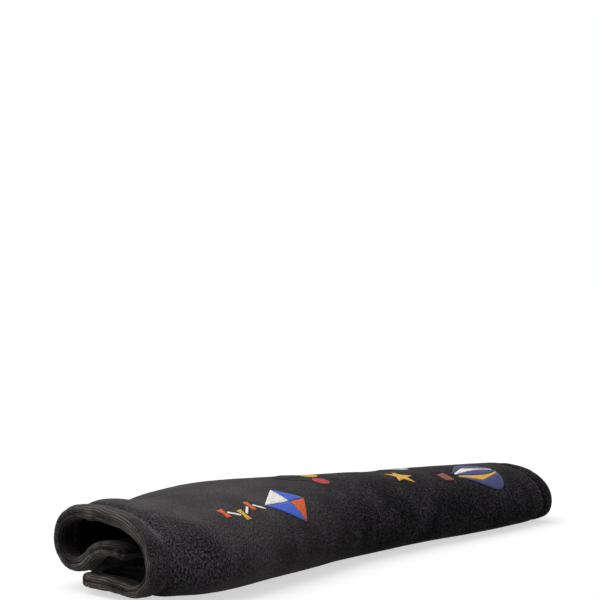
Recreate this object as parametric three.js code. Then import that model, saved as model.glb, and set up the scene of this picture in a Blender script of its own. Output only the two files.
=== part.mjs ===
// Seat belt shoulder pad: a soft padded sleeve that wraps round a belt's webbing and lies on the shoulder.
//
// The sleeve is one flat, padded panel rolled into a tube. Its section is an S: the bottom flap lies on the
// ground, the panel folds up and over, folds down again at the far side and tucks its other flap inside, on
// top of the bottom flap, where a hook strip and a loop strip hold it. The belt runs above that inner flap.
//
// Every layer is described flat and then rolled up by one function:
//   u  runs across the panel, from the bottom flap's free edge to the inner flap's free edge
//   x  runs along the pad, which is also the belt's direction
//   w  is the height over the middle of the wall, positive on the outside of the sleeve
// Millimetres, +Z up. The end that lies open is at -X and the near fold is at -Y.

import * as THREE from 'three';
import { TessellateModifier } from 'three/addons/modifiers/TessellateModifier.js';
import { mergeVertices } from 'three/addons/utils/BufferGeometryUtils.js';

// Driving dimensions

const padLength = 270;
const wall = 5.8;
const plush = 1.3;
const seat = 0.3;

const hemWidth = 9;
const grooveDepth = 1.6;
const grooveSpread = 1.7;
const seamWidth = 5;
const edgeHeight = 1;
const fieldMargin = 1.5;
const cornerRadius = 3;
const cornerReach = 12;

// The near side of the wrap and its inner flap stay open over a longer stretch than the far fold does.
const openLength = 84;
const foldOpenLength = 30;
const flapEdge = 9;
const foldDroop = 7.5;
const rimCurl = 2.6;

// The near fold's hem is stretched thin at the open end.
const stretchThinning = 1.5;
const stretchShare = 0.3;
const stretchSpread = 17;
const stretchLength = 14;

// Reach of the near fold and of the far fold from the middle plane, and height over the ground.
const rim = { near: 34.5, far: 26.4, height: 34.2 };
const hem = { near: 36.5, far: 27.3, height: 34 };
const belly = { near: 47, far: 29.2, height: 34.4 };
const body = { near: 43.5, far: 31, height: 37.4 };
const waist = { near: 31.5, far: 30, height: 34 };
const tail = { near: 29.2, far: 29.8, height: 30.2 };
const tailRim = { near: 26, far: 30.5, height: 27.2 };

const stripWidth = 16;
const stripThickness = 1.2;
const stripEndGap = 17;
const stripEdgeGap = 6;
const threadRadius = 0.4;

const filmThickness = 0.3;
const lineWidth = 1;

// Places of the printed motifs, measured from the pad's crown line and from its middle.
const hotAirBalloonPlace = { across: -19, along: 72 };
const starPlace = { across: -14, along: 36 };
const cloudPlace = { across: 6, along: 54 };
const toyBalloonsPlace = { across: -1, along: -38 };
const kitePlace = { across: -22, along: -72 };

const envelopeRadius = 13.5;
const envelopeLength = 31;
const basketWidth = 8;
const basketHeight = 6;
const ropeLength = 6;
const starRadius = 8;
const starWaist = 3.4;
const cloudRadius = 5;
const toyBalloonRadius = 4;
const toyStringLength = 21;
const kiteWidth = 19;
const kiteLength = 27;
const kiteTail = 24;
const bowWidth = 5;

// Colours of the finishes

const finishes = {
  plushCover: { color: 0x2b292c, roughness: 1, metalness: 0 },
  plushLining: { color: 0x3a3735, roughness: 1, metalness: 0 },
  foam: { color: 0x6f6f6c, roughness: 0.95, metalness: 0 },
  fastener: { color: 0x1b1b1d, roughness: 0.9, metalness: 0 },
  thread: { color: 0x3d3a3a, roughness: 0.8, metalness: 0 },
  navy: { color: 0x3b3f70, roughness: 0.6, metalness: 0 },
  white: { color: 0xe9e6df, roughness: 0.6, metalness: 0 },
  mustard: { color: 0xd9a93a, roughness: 0.6, metalness: 0 },
  brown: { color: 0x8a4b33, roughness: 0.6, metalness: 0 },
  black: { color: 0x161516, roughness: 0.6, metalness: 0 },
  red: { color: 0xb5302a, roughness: 0.6, metalness: 0 },
  mint: { color: 0xa9c4b4, roughness: 0.6, metalness: 0 },
  orange: { color: 0xd85a1e, roughness: 0.6, metalness: 0 },
  blue: { color: 0x3a5fcb, roughness: 0.6, metalness: 0 },
};

// The rolled wall

const halfLength = padLength / 2;
const halfWall = wall / 2;
const stripStack = 2 * stripThickness + 3 * seat;

// Where along the pad each set of widths and heights holds, as a share of its length.
const stations = [
  { at: 0, ...rim },
  { at: 0.035, ...hem },
  { at: 0.09, ...belly },
  { at: 0.24, ...body },
  { at: 0.48, ...waist },
  { at: 0.8, ...tail },
  { at: 1, ...tailRim },
];

// Catmull-Rom slope of one station value.
function stationSlope(key, index) {
  const before = stations[Math.max(index - 1, 0)];
  const after = stations[Math.min(index + 1, stations.length - 1)];
  return (after[key] - before[key]) / (after.at - before.at);
}

// A station value, such as the height, at a share of the pad's length.
function alongPad(key, share) {
  let index = 0;
  while (index < stations.length - 2 && share > stations[index + 1].at) index += 1;
  const from = stations[index];
  const to = stations[index + 1];
  const span = to.at - from.at;
  const t = (share - from.at) / span;
  const startSlope = stationSlope(key, index) * span;
  const endSlope = stationSlope(key, index + 1) * span;
  const rise = to[key] - from[key];
  return from[key] + t * (startSlope + t * (3 * rise - 2 * startSlope - endSlope
    + t * (startSlope + endSlope - 2 * rise)));
}

// How far the wrap has opened at a place along the pad: 1 at the near end, 0 beyond the given length.
function openness(x, length) {
  return 1 - THREE.MathUtils.smoothstep(x + halfLength, 0, length);
}

// Control points of the wall's middle line in the section at x, as [y, z].
// Each row holds the closed place and the open place of one control point.
function controlPoints(x) {
  const share = (x + halfLength) / padLength;
  const near = halfWall - alongPad('near', share);
  const far = alongPad('far', share) - halfWall;
  const floorLevel = halfWall;
  const topLevel = alongPad('height', share) - halfWall;
  const flapLevel = floorLevel + wall + stripStack;
  const lift = (fraction) => THREE.MathUtils.lerp(floorLevel, topLevel, fraction);
  const flapAndNearFold = [
    [[flapEdge, floorLevel], [0.91 * flapEdge, floorLevel + rimCurl]],
    [[-0.17 * flapEdge, floorLevel], [-0.6 * flapEdge, floorLevel + 0.9 * rimCurl]],
    [[0.41 * near, floorLevel], [0.49 * near, floorLevel + 0.9 * rimCurl]],
    [[0.8 * near, floorLevel], [0.82 * near, floorLevel + 0.3 * rimCurl]],
    [[1.08 * near, lift(0.28)], [1.09 * near, lift(0.32)]],
    [[0.91 * near, lift(0.69)], [0.98 * near, lift(0.71)]],
    [[0.6 * near, lift(0.88)], [0.69 * near, lift(0.87)]],
    [[0.24 * near, lift(0.99)], [0.4 * near, lift(0.98)]],
    [[0.13 * far, lift(1.01)], [0.07 * near, lift(1.01)]],
  ];
  const farFold = [
    [[0.52 * far, lift(0.97)], [0.34 * far, lift(1.01)]],
    [[0.9 * far, lift(0.88)], [0.83 * far, lift(0.95)]],
    [[1.05 * far, lift(0.5)], [1.07 * far, lift(0.54)]],
    [[0.98 * far, flapLevel - foldDroop], [0.73 * far, lift(0.22)]],
    [[0.6 * far, flapLevel - foldDroop], [0.25 * far, lift(0.31)]],
  ];
  const innerFlap = [
    [[0.34 * far, flapLevel + 0.22 * foldDroop], [0.03 * near, lift(0.565)]],
    [[0.1 * near, flapLevel], [0.33 * near, lift(0.58)]],
    [[0.5 * near, flapLevel], [0.55 * near, lift(0.53)]],
  ];
  const blend = (rows, open) => rows.map(([shut, wide]) => new THREE.Vector2(
    THREE.MathUtils.lerp(shut[0], wide[0], open),
    THREE.MathUtils.lerp(shut[1], wide[1], open),
  ));
  return [
    ...blend(flapAndNearFold, openness(x, openLength)),
    ...blend(farFold, openness(x, foldOpenLength)),
    ...blend(innerFlap, openness(x, openLength)),
  ];
}

const samplesPerSpan = 12;

// The wall's middle line at x: points, lengths run so far and outward directions along a cubic B-spline.
function buildRoute(x) {
  const controls = controlPoints(x);
  const last = controls.length - 1;
  const first = controls[0].clone().multiplyScalar(2).sub(controls[1]);
  const beyond = controls[last].clone().multiplyScalar(2).sub(controls[last - 1]);
  const hull = [first, ...controls, beyond];
  const points = [];
  const outward = [];
  const lengths = [0];
  for (let span = 0; span < last; span += 1) {
    const steps = span === last - 1 ? samplesPerSpan + 1 : samplesPerSpan;
    for (let step = 0; step < steps; step += 1) {
      const t = step / samplesPerSpan;
      const weight = [(1 - t) ** 3 / 6, (3 * t ** 3 - 6 * t ** 2 + 4) / 6,
        (-3 * t ** 3 + 3 * t ** 2 + 3 * t + 1) / 6, t ** 3 / 6];
      const slope = [-((1 - t) ** 2) / 2, (3 * t ** 2 - 4 * t) / 2,
        (-3 * t ** 2 + 2 * t + 1) / 2, t ** 2 / 2];
      const point = new THREE.Vector2();
      const along = new THREE.Vector2();
      for (let k = 0; k < 4; k += 1) {
        point.addScaledVector(hull[span + k], weight[k]);
        along.addScaledVector(hull[span + k], slope[k]);
      }
      along.normalize();
      if (points.length > 0) lengths.push(lengths.at(-1) + point.distanceTo(points.at(-1)));
      points.push(point);
      outward.push(new THREE.Vector2(-along.y, along.x));
    }
  }
  return { points, outward, lengths };
}

const routes = new Map();

function routeAt(x) {
  const key = x.toFixed(4);
  if (!routes.has(key)) routes.set(key, buildRoute(x));
  return routes.get(key);
}

// Width of the panel laid flat, taken where the pad is shut.
const panelWidth = routeAt(0).lengths.at(-1);

// Place along the pad once the flat panel's corners are rounded.
function roundedPlace(u, x) {
  const inside = Math.max(cornerRadius - Math.min(u, panelWidth - u), 0);
  const cut = cornerRadius - Math.sqrt(cornerRadius ** 2 - inside ** 2);
  return x - Math.sign(x) * cut * THREE.MathUtils.smoothstep(Math.abs(x), halfLength - cornerReach, halfLength);
}

// Rolls a place of the flat panel up: panel place (u, x) and height w over the wall's middle.
function roll(u, x, w) {
  const { points, outward, lengths } = routeAt(x);
  const run = THREE.MathUtils.clamp(u / panelWidth, 0, 1) * lengths.at(-1);
  let low = 0;
  let high = lengths.length - 1;
  while (high - low > 1) {
    const middle = (low + high) >> 1;
    if (lengths[middle] > run) high = middle;
    else low = middle;
  }
  const t = (run - lengths[low]) / (lengths[high] - lengths[low]);
  const place = points[low].clone().lerp(points[high], t);
  const normal = outward[low].clone().lerp(outward[high], t).normalize();
  return new THREE.Vector3(roundedPlace(u, x), place.x + normal.x * w, place.y + normal.y * w);
}

// Thickness of the wall over the flat panel

// Half of the wall's thickness at a place: rounded along every edge, pinched in the groove of each end hem
// and stretched thin at the open end of the near fold.
function halfThickness(u, x) {
  const sideways = Math.min(u, panelWidth - u);
  const endways = halfLength - Math.abs(x);
  const toEdge = Math.min(sideways, endways, halfWall);
  const round = Math.sqrt(1 - (1 - toEdge / halfWall) ** 2);
  const pinch = grooveDepth * Math.exp(-(((endways - hemWidth) / grooveSpread) ** 2));
  const fromFold = (u - stretchShare * panelWidth) / stretchSpread;
  const stretch = stretchThinning * openness(x, stretchLength) * Math.exp(-(fromFold ** 2));
  return edgeHeight + (halfWall - edgeHeight - pinch - stretch) * round;
}

// Whether a place lies on the padded field, inside the edge seams and the end hems.
const fieldStart = seamWidth + fieldMargin;
const fieldEnd = hemWidth + 2 * grooveSpread;

const tolerance = 0.01;

const inFieldAcross = (u) => Math.min(u, panelWidth - u) > fieldStart - tolerance;
const inFieldAlong = (x) => halfLength - Math.abs(x) > fieldEnd - tolerance;
const paddedField = (u, x) => inFieldAcross(u) && inFieldAlong(x);

// Grid of the flat panel

// Numbers from start to end in equal steps no longer than the longest allowed.
function steps(start, end, longest) {
  const count = Math.max(1, Math.round((end - start) / longest));
  return Array.from({ length: count + 1 }, (_, index) => start + ((end - start) * index) / count);
}

// Lines near an edge: the rounding's, then the seam's inner border and the padded field's start.
const roundingLines = [0, 0.12 * wall, 0.3 * wall, halfWall];
const crossStep = 6.5;
const lengthStep = 20;
const sideLines = [...roundingLines, seamWidth, fieldStart, stripEdgeGap + stripWidth];
const hemLines = [...roundingLines, hemWidth - 1.4 * grooveSpread, hemWidth, hemWidth + 1.4 * grooveSpread,
  fieldEnd, stripEndGap];

function mirroredLines(lines, total, longest) {
  const inner = steps(lines.at(-1), total - lines.at(-1), longest).slice(1, -1);
  return [...lines, ...inner, ...lines.map((value) => total - value).reverse()];
}

const uLines = mirroredLines(sideLines, panelWidth, crossStep);
const xLines = mirroredLines(hemLines, padLength, lengthStep).map((value) => value - halfLength);

// A closed layer of the wall between two heights, over a grid of panel lines.
function layer(us, xs, bottom, top) {
  const positions = [];
  const indices = [];
  const columns = us.length;
  const rows = xs.length;
  const addSheet = (height) => {
    for (const x of xs) for (const u of us) positions.push(...roll(u, x, height(u, x)).toArray());
  };
  addSheet(bottom);
  addSheet(top);
  const under = (i, j) => j * columns + i;
  const over = (i, j) => columns * rows + j * columns + i;
  const quad = (a, b, c, d) => indices.push(a, b, c, a, c, d);
  for (let j = 0; j < rows - 1; j += 1) {
    for (let i = 0; i < columns - 1; i += 1) {
      quad(over(i, j), over(i + 1, j), over(i + 1, j + 1), over(i, j + 1));
      quad(under(i, j), under(i, j + 1), under(i + 1, j + 1), under(i + 1, j));
    }
  }
  for (let i = 0; i < columns - 1; i += 1) {
    quad(under(i, 0), under(i + 1, 0), over(i + 1, 0), over(i, 0));
    quad(under(i + 1, rows - 1), under(i, rows - 1), over(i, rows - 1), over(i + 1, rows - 1));
  }
  for (let j = 0; j < rows - 1; j += 1) {
    quad(under(0, j + 1), under(0, j), over(0, j), over(0, j + 1));
    quad(under(columns - 1, j), under(columns - 1, j + 1), over(columns - 1, j + 1), over(columns - 1, j));
  }
  return closedGeometry(positions, indices);
}

// A geometry from positions and triangles, turned so that its faces point out.
function closedGeometry(positions, indices) {
  const geometry = new THREE.BufferGeometry();
  geometry.setAttribute('position', new THREE.Float32BufferAttribute(positions, 3));
  if (signedVolume(positions, indices) < 0) {
    for (let k = 0; k < indices.length; k += 3) [indices[k], indices[k + 1]] = [indices[k + 1], indices[k]];
  }
  geometry.setIndex(indices);
  geometry.computeVertexNormals();
  return geometry;
}

function signedVolume(positions, indices) {
  const corner = (index) => new THREE.Vector3().fromArray(positions, 3 * index);
  let volume = 0;
  for (let k = 0; k < indices.length; k += 3) {
    volume += corner(indices[k]).dot(corner(indices[k + 1]).cross(corner(indices[k + 2]))) / 6;
  }
  return volume;
}

const pad = new THREE.Group();

function addPiece(name, geometry, finish) {
  const mesh = new THREE.Mesh(geometry, new THREE.MeshStandardMaterial(finishes[finish]));
  mesh.name = name;
  pad.add(mesh);
  return mesh;
}

// Fabric and foam

const seamHalf = seat / 2;
const skinDepth = (u, x) => (paddedField(u, x) ? halfThickness(u, x) - plush : seamHalf);

addPiece('outer_cover', layer(uLines, xLines, skinDepth, halfThickness), 'plushCover');

addPiece(
  'inner_lining',
  layer(uLines, xLines, (u, x) => -halfThickness(u, x), (u, x) => -skinDepth(u, x)),
  'plushLining',
);

const foamU = uLines.filter(inFieldAcross);
const foamX = xLines.filter(inFieldAlong);
foamU[0] += seat;
foamU[foamU.length - 1] -= seat;
foamX[0] += seat;
foamX[foamX.length - 1] -= seat;
const foamHalf = (u, x) => halfThickness(u, x) - plush - seat;

addPiece('foam_core', layer(foamU, foamX, (u, x) => -foamHalf(u, x), foamHalf), 'foam');

// Hook and loop strips

// The panel's own grid lines between two places, with those places as the first and last line.
function linesBetween(lines, start, end) {
  return [start, ...lines.filter((value) => value > start + seat && value < end - seat), end];
}

const stripX = linesBetween(xLines, stripEndGap - halfLength, halfLength - stripEndGap);
const loopU = linesBetween(uLines, stripEdgeGap, stripEdgeGap + stripWidth);
const hookU = linesBetween(uLines, panelWidth - stripEdgeGap - stripWidth, panelWidth - stripEdgeGap);
const stripSeat = halfWall + seat;

addPiece('loop_strip', layer(loopU, stripX, () => -stripSeat - stripThickness, () => -stripSeat), 'fastener');
addPiece('hook_strip', layer(hookU, stripX, () => stripSeat, () => stripSeat + stripThickness), 'fastener');

// Seam threads in the grooves of the two end hems

// A thread of round section along a list of places.
function thread(places) {
  const section = new THREE.Shape(new THREE.EllipseCurve(0, 0, threadRadius, threadRadius).getPoints(4));
  const path = new THREE.CatmullRomCurve3(places);
  return new THREE.ExtrudeGeometry(section, { extrudePath: path, steps: 2 * places.length });
}

const seamLines = uLines.filter((u) => Math.min(u, panelWidth - u) > seamWidth - tolerance);

function addSeamThread(name, x) {
  const places = seamLines.map((u) => roll(u, x, halfThickness(u, x) + 2 * seat + threadRadius));
  addPiece(name, thread(places), 'thread');
}

addSeamThread('near_end_seam_thread', hemWidth - halfLength);
addSeamThread('far_end_seam_thread', halfLength - hemWidth);

// Printed films on the outside: flat shapes drawn as [along the pad, across the pad], rolled with the wall

const filmStep = 6;
const splitEdges = new TessellateModifier(filmStep, 8);

// Presses a flat outline on the cover, with its own origin at panel place (u, x).
function film(outline, u, x) {
  const shape = new THREE.Shape(outline);
  const solid = new THREE.ExtrudeGeometry(shape, { depth: filmThickness, bevelEnabled: false });
  solid.deleteAttribute('uv');
  const flat = splitEdges.modify(solid);
  const spots = flat.attributes.position;
  const positions = [];
  for (let k = 0; k < spots.count; k += 1) {
    const alongX = x + spots.getX(k);
    const across = u + spots.getY(k);
    const height = halfThickness(across, alongX) + seat + spots.getZ(k);
    positions.push(...roll(across, alongX, height).toArray());
  }
  const loose = new THREE.BufferGeometry();
  loose.setAttribute('position', new THREE.Float32BufferAttribute(positions, 3));
  const merged = mergeVertices(loose, 1e-3);
  return closedGeometry(Array.from(merged.attributes.position.array), Array.from(merged.index.array));
}

const point = (x, y) => new THREE.Vector2(x, y);

function circle(radius, sides = 20, x = 0, y = 0) {
  return Array.from({ length: sides }, (_, k) => point(
    x + radius * Math.cos((2 * Math.PI * k) / sides),
    y + radius * Math.sin((2 * Math.PI * k) / sides),
  ));
}

// A straight printed line from one flat place to another.
function bar(from, to, width = lineWidth) {
  const side = to.clone().sub(from).normalize().multiplyScalar(width / 2);
  const normal = point(-side.y, side.x);
  return [from.clone().add(normal), from.clone().sub(normal), to.clone().sub(normal), to.clone().add(normal)];
}

// Half width of the hot-air balloon's envelope at a share of its length, from its mouth to its crown.
function envelopeHalfWidth(share) {
  const mouth = 0.24;
  return envelopeRadius * (mouth * (1 - share) + (1 - mouth / 3) * Math.sin(Math.PI * share ** 1.45) ** 0.75);
}

// One gore of the envelope, between two shares of its half width.
function gore(inner, outer) {
  const rows = 9;
  const left = [];
  const right = [];
  for (let k = 0; k <= rows; k += 1) {
    const share = k / rows;
    const half = envelopeHalfWidth(share * 0.96);
    const along = envelopeLength * share;
    left.push(point(along, inner * half + seat / 2));
    right.push(point(along, outer * half - seat / 2));
  }
  return [...left, ...right.reverse()];
}

const crownLine = panelWidth / 2;

function addHotAirBalloon(u, x) {
  const colours = ['navy', 'mustard', 'navy', 'white', 'navy'];
  colours.forEach((colour, k) => {
    const outline = gore(-1 + (2 * k) / colours.length, -1 + (2 * (k + 1)) / colours.length);
    addPiece(`balloon_gore_${k + 1}`, film(outline, u, x), colour);
  });
  const top = -ropeLength;
  const half = basketWidth / 2;
  const basket = [point(top, -half), point(top, half), point(top - basketHeight, 0.75 * half),
    point(top - basketHeight, -0.75 * half)];
  addPiece('balloon_basket', film(basket, u, x), 'brown');
  for (const [name, side] of [['balloon_rope_left', -1], ['balloon_rope_right', 1]]) {
    const rope = bar(point(top + seat, side * 0.6 * half), point(-seat, side * 0.6 * half));
    addPiece(name, film(rope, u, x), 'black');
  }
}

function addStar(u, x) {
  const outline = Array.from({ length: 10 }, (_, k) => {
    const radius = k % 2 === 0 ? starRadius : starWaist;
    return point(radius * Math.cos((Math.PI * k) / 5), radius * Math.sin((Math.PI * k) / 5));
  });
  addPiece('star', film(outline, u, x), 'mustard');
}

function addCloud(u, x) {
  const outline = Array.from({ length: 24 }, (_, k) => {
    const angle = (2 * Math.PI * k) / 24;
    const puff = 1 + 0.16 * Math.abs(Math.sin(2.5 * angle));
    return point(cloudRadius * puff * Math.cos(angle), 1.6 * cloudRadius * puff * Math.sin(angle));
  });
  addPiece('cloud', film(outline, u, x), 'mint');
}

function addToyBalloons(u, x) {
  const colours = ['red', 'mustard', 'mint'];
  colours.forEach((colour, k) => {
    const across = (k - 1) * 2.5 * toyBalloonRadius;
    const along = toyStringLength + (k === 1 ? toyBalloonRadius : 0);
    addPiece(`toy_balloon_${colour}`, film(circle(toyBalloonRadius, 16, along, across), u, x), colour);
    const knot = point(2 * (k === 1 ? 0 : 1) * lineWidth, (k - 1) * 1.5 * lineWidth);
    const tie = point(along - toyBalloonRadius - seat, across * 0.86);
    addPiece(`toy_string_${colour}`, film(bar(knot, tie), u, x), 'black');
  });
}

function addKite(u, x) {
  const spar = 0.62 * kiteLength;
  const half = kiteWidth / 2;
  const gap = seat / 2;
  const sails = [
    ['blue', [point(spar + gap, gap), point(kiteLength, gap), point(spar + gap, half)]],
    ['orange', [point(spar + gap, -gap), point(kiteLength, -gap), point(spar + gap, -half)]],
    ['white', [point(spar - gap, gap), point(0, gap), point(spar - gap, half)]],
    ['blue', [point(spar - gap, -gap), point(0, -gap), point(spar - gap, -half)]],
  ];
  sails.forEach(([colour, outline], k) => {
    addPiece(`kite_sail_${k + 1}`, film(outline, u, x), colour);
  });
  const bows = 3;
  for (let k = 0; k < bows; k += 1) {
    const from = (-kiteTail * k) / bows;
    const to = (-kiteTail * (k + 1)) / bows;
    const swing = (k % 2 === 0 ? 1 : -1) * bowWidth * 0.3;
    const start = point(from - bowWidth * 0.35, -swing);
    addPiece(`kite_tail_${k + 1}`, film(bar(start, point(to + bowWidth * 0.35, swing)), u, x), 'white');
    const half = bowWidth / 2;
    const bow = [point(to + 0.35 * half, swing), point(to + 0.6 * half, swing + half),
      point(to - 0.6 * half, swing + half), point(to - 0.35 * half, swing),
      point(to - 0.6 * half, swing - half), point(to + 0.6 * half, swing - half)];
    addPiece(`kite_bow_${k + 1}`, film(bow, u, x), k % 2 === 0 ? 'orange' : 'mustard');
  }
}

addHotAirBalloon(crownLine + hotAirBalloonPlace.across, hotAirBalloonPlace.along);
addStar(crownLine + starPlace.across, starPlace.along);
addCloud(crownLine + cloudPlace.across, cloudPlace.along);
addToyBalloons(crownLine + toyBalloonsPlace.across, toyBalloonsPlace.along);
addKite(crownLine + kitePlace.across, kitePlace.along);

// The pad's frame has its origin under the middle of its box, on the ground.
const box = new THREE.Box3().setFromObject(pad);
pad.position.y = -(box.min.y + box.max.y) / 2;

export default pad;
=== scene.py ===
"""Looks of the seat belt shoulder pad: plush, hems, tape, stitches and films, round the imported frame."""

import logging
import math
from collections.abc import Iterator, Sequence
from dataclasses import dataclass, field
from enum import Enum
from functools import partial

import bmesh
import bpy
import numpy as np
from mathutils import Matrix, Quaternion, Vector

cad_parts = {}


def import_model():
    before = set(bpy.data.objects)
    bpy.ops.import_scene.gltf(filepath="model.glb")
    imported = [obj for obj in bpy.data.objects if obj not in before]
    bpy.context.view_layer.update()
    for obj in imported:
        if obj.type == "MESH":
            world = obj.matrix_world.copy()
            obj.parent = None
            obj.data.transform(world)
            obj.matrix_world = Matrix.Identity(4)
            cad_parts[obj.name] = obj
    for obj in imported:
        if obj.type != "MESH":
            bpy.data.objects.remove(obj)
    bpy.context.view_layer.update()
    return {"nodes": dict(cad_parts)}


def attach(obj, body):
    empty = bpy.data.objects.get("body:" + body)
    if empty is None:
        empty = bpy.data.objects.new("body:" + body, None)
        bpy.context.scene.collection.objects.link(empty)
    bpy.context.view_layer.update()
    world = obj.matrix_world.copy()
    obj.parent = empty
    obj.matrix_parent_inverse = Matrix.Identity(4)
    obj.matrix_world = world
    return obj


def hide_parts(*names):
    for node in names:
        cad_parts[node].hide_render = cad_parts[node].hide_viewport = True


LOG = logging.getLogger("shoulder_pad")
MM = 0.001
BODY = "root"
PANEL_UV = "panel"
UV_SPAN_MM = 300.0
WAVE_PERIOD = 0.314  # period of Blender's wave texture at scale 1
MERGE_REACH = 1e-7  # in metres
TINY = 1e-12  # keeps a length or a sign from being zero

Points = np.ndarray
Corners = list[tuple[float, float]]
Inputs = dict[str | int, object]
Stop = tuple[float, str]


# Sizes of the wrap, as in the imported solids, in millimetres


@dataclass(frozen=True)
class Station:
    """Widths and height of the wrap at one place along the pad.

    Args:
        at: Share of the pad's length, from the open end.
        near: Reach of the near fold from the middle plane.
        far: Reach of the far fold from the middle plane.
        height: Height over the ground.
    """

    at: float
    near: float
    far: float
    height: float


@dataclass(frozen=True)
class WrapSizes:
    """Driving sizes of the rolled panel."""

    length: float = 270.0
    wall: float = 5.8
    plush: float = 1.3
    seat: float = 0.3
    hem_width: float = 9.0
    groove_depth: float = 1.6
    groove_spread: float = 1.7
    seam_width: float = 5.0
    edge_height: float = 1.0
    corner_radius: float = 3.0
    corner_reach: float = 12.0
    open_length: float = 84.0
    fold_open_length: float = 30.0
    flap_edge: float = 9.0
    fold_droop: float = 7.5
    rim_curl: float = 2.6
    stretch_thinning: float = 1.5
    stretch_share: float = 0.3
    stretch_spread: float = 17.0
    stretch_length: float = 14.0
    strip_width: float = 16.0
    strip_thickness: float = 1.2
    strip_end_gap: float = 17.0
    strip_edge_gap: float = 6.0
    stations: tuple[Station, ...] = (
        Station(0.0, 34.5, 26.4, 34.2),
        Station(0.035, 36.5, 27.3, 34.0),
        Station(0.09, 47.0, 29.2, 34.4),
        Station(0.24, 43.5, 31.0, 37.4),
        Station(0.48, 31.5, 30.0, 34.0),
        Station(0.8, 29.2, 29.8, 30.2),
        Station(1.0, 26.0, 30.5, 27.2),
    )

    @property
    def half_length(self) -> float:
        """Half of the pad's length."""
        return self.length / 2

    @property
    def half_wall(self) -> float:
        """Half of the wall's thickness."""
        return self.wall / 2


class Side(Enum):
    """Which face of the wall a layer belongs to."""

    OUTSIDE = 1.0
    INSIDE = -1.0


# Small tools


def smooth(value: Points, low: float, high: float) -> Points:
    """Rises smoothly from 0 at low to 1 at high.

    Args:
        value: Values to grade.
        low: Where the rise starts.
        high: Where the rise ends.

    Returns:
        The graded values.
    """
    t = np.clip((value - low) / (high - low), 0.0, 1.0)
    return t * t * (3.0 - 2.0 * t)


def evenly(start: float, end: float, step: float) -> Points:
    """Even places from start to end, about a step apart."""
    return np.linspace(start, end, int(round((end - start) / step)) + 1)


def bell(value: Points, middle: float, spread: float) -> Points:
    """Bell curve that is 1 at its middle."""
    return np.exp(-(((value - middle) / spread) ** 2))


@dataclass(frozen=True)
class NoiseLayer:
    """One layer of smooth noise over the flat panel.

    Args:
        across: Lattice spacing across, in mm.
        along: Lattice spacing along, in mm.
        share: Its strength.
        shift: Its offset across, in mm, which sets it apart from other layers of the same lattice.
    """

    across: float
    along: float
    share: float = 1.0
    shift: float = 0.0


class LatticeNoise:
    """Repeatable smooth noise over the flat panel, about -1 to 1."""

    SIZE = 256
    ORIGIN = (57.0, 131.0)

    def __init__(self, seed: int) -> None:
        """Fills the lattice from a fixed seed."""
        self.lattice = np.random.default_rng(seed).uniform(-1.0, 1.0, (self.SIZE, self.SIZE))

    def at(self, u: Points, x: Points, *layers: NoiseLayer) -> Points:
        """Samples the noise and adds its layers up.

        Args:
            u: Places across the panel, in mm.
            x: Places along the panel, in mm.
            layers: The layers to add.

        Returns:
            One value for each place.
        """
        total = 0.0
        for layer in layers:
            a = (u + layer.shift) / layer.across + self.ORIGIN[0]
            b = x / layer.along + self.ORIGIN[1]
            i, j = np.floor(a).astype(int), np.floor(b).astype(int)
            s, t = smooth(a - i, 0.0, 1.0), smooth(b - j, 0.0, 1.0)
            for p, q, part in ((0, 0, (1 - s) * (1 - t)), (1, 0, s * (1 - t)), (0, 1, (1 - s) * t),
                               (1, 1, s * t)):
                total = total + layer.share * part * self.lattice[(i + p) % self.SIZE, (j + q) % self.SIZE]
        return total


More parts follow.
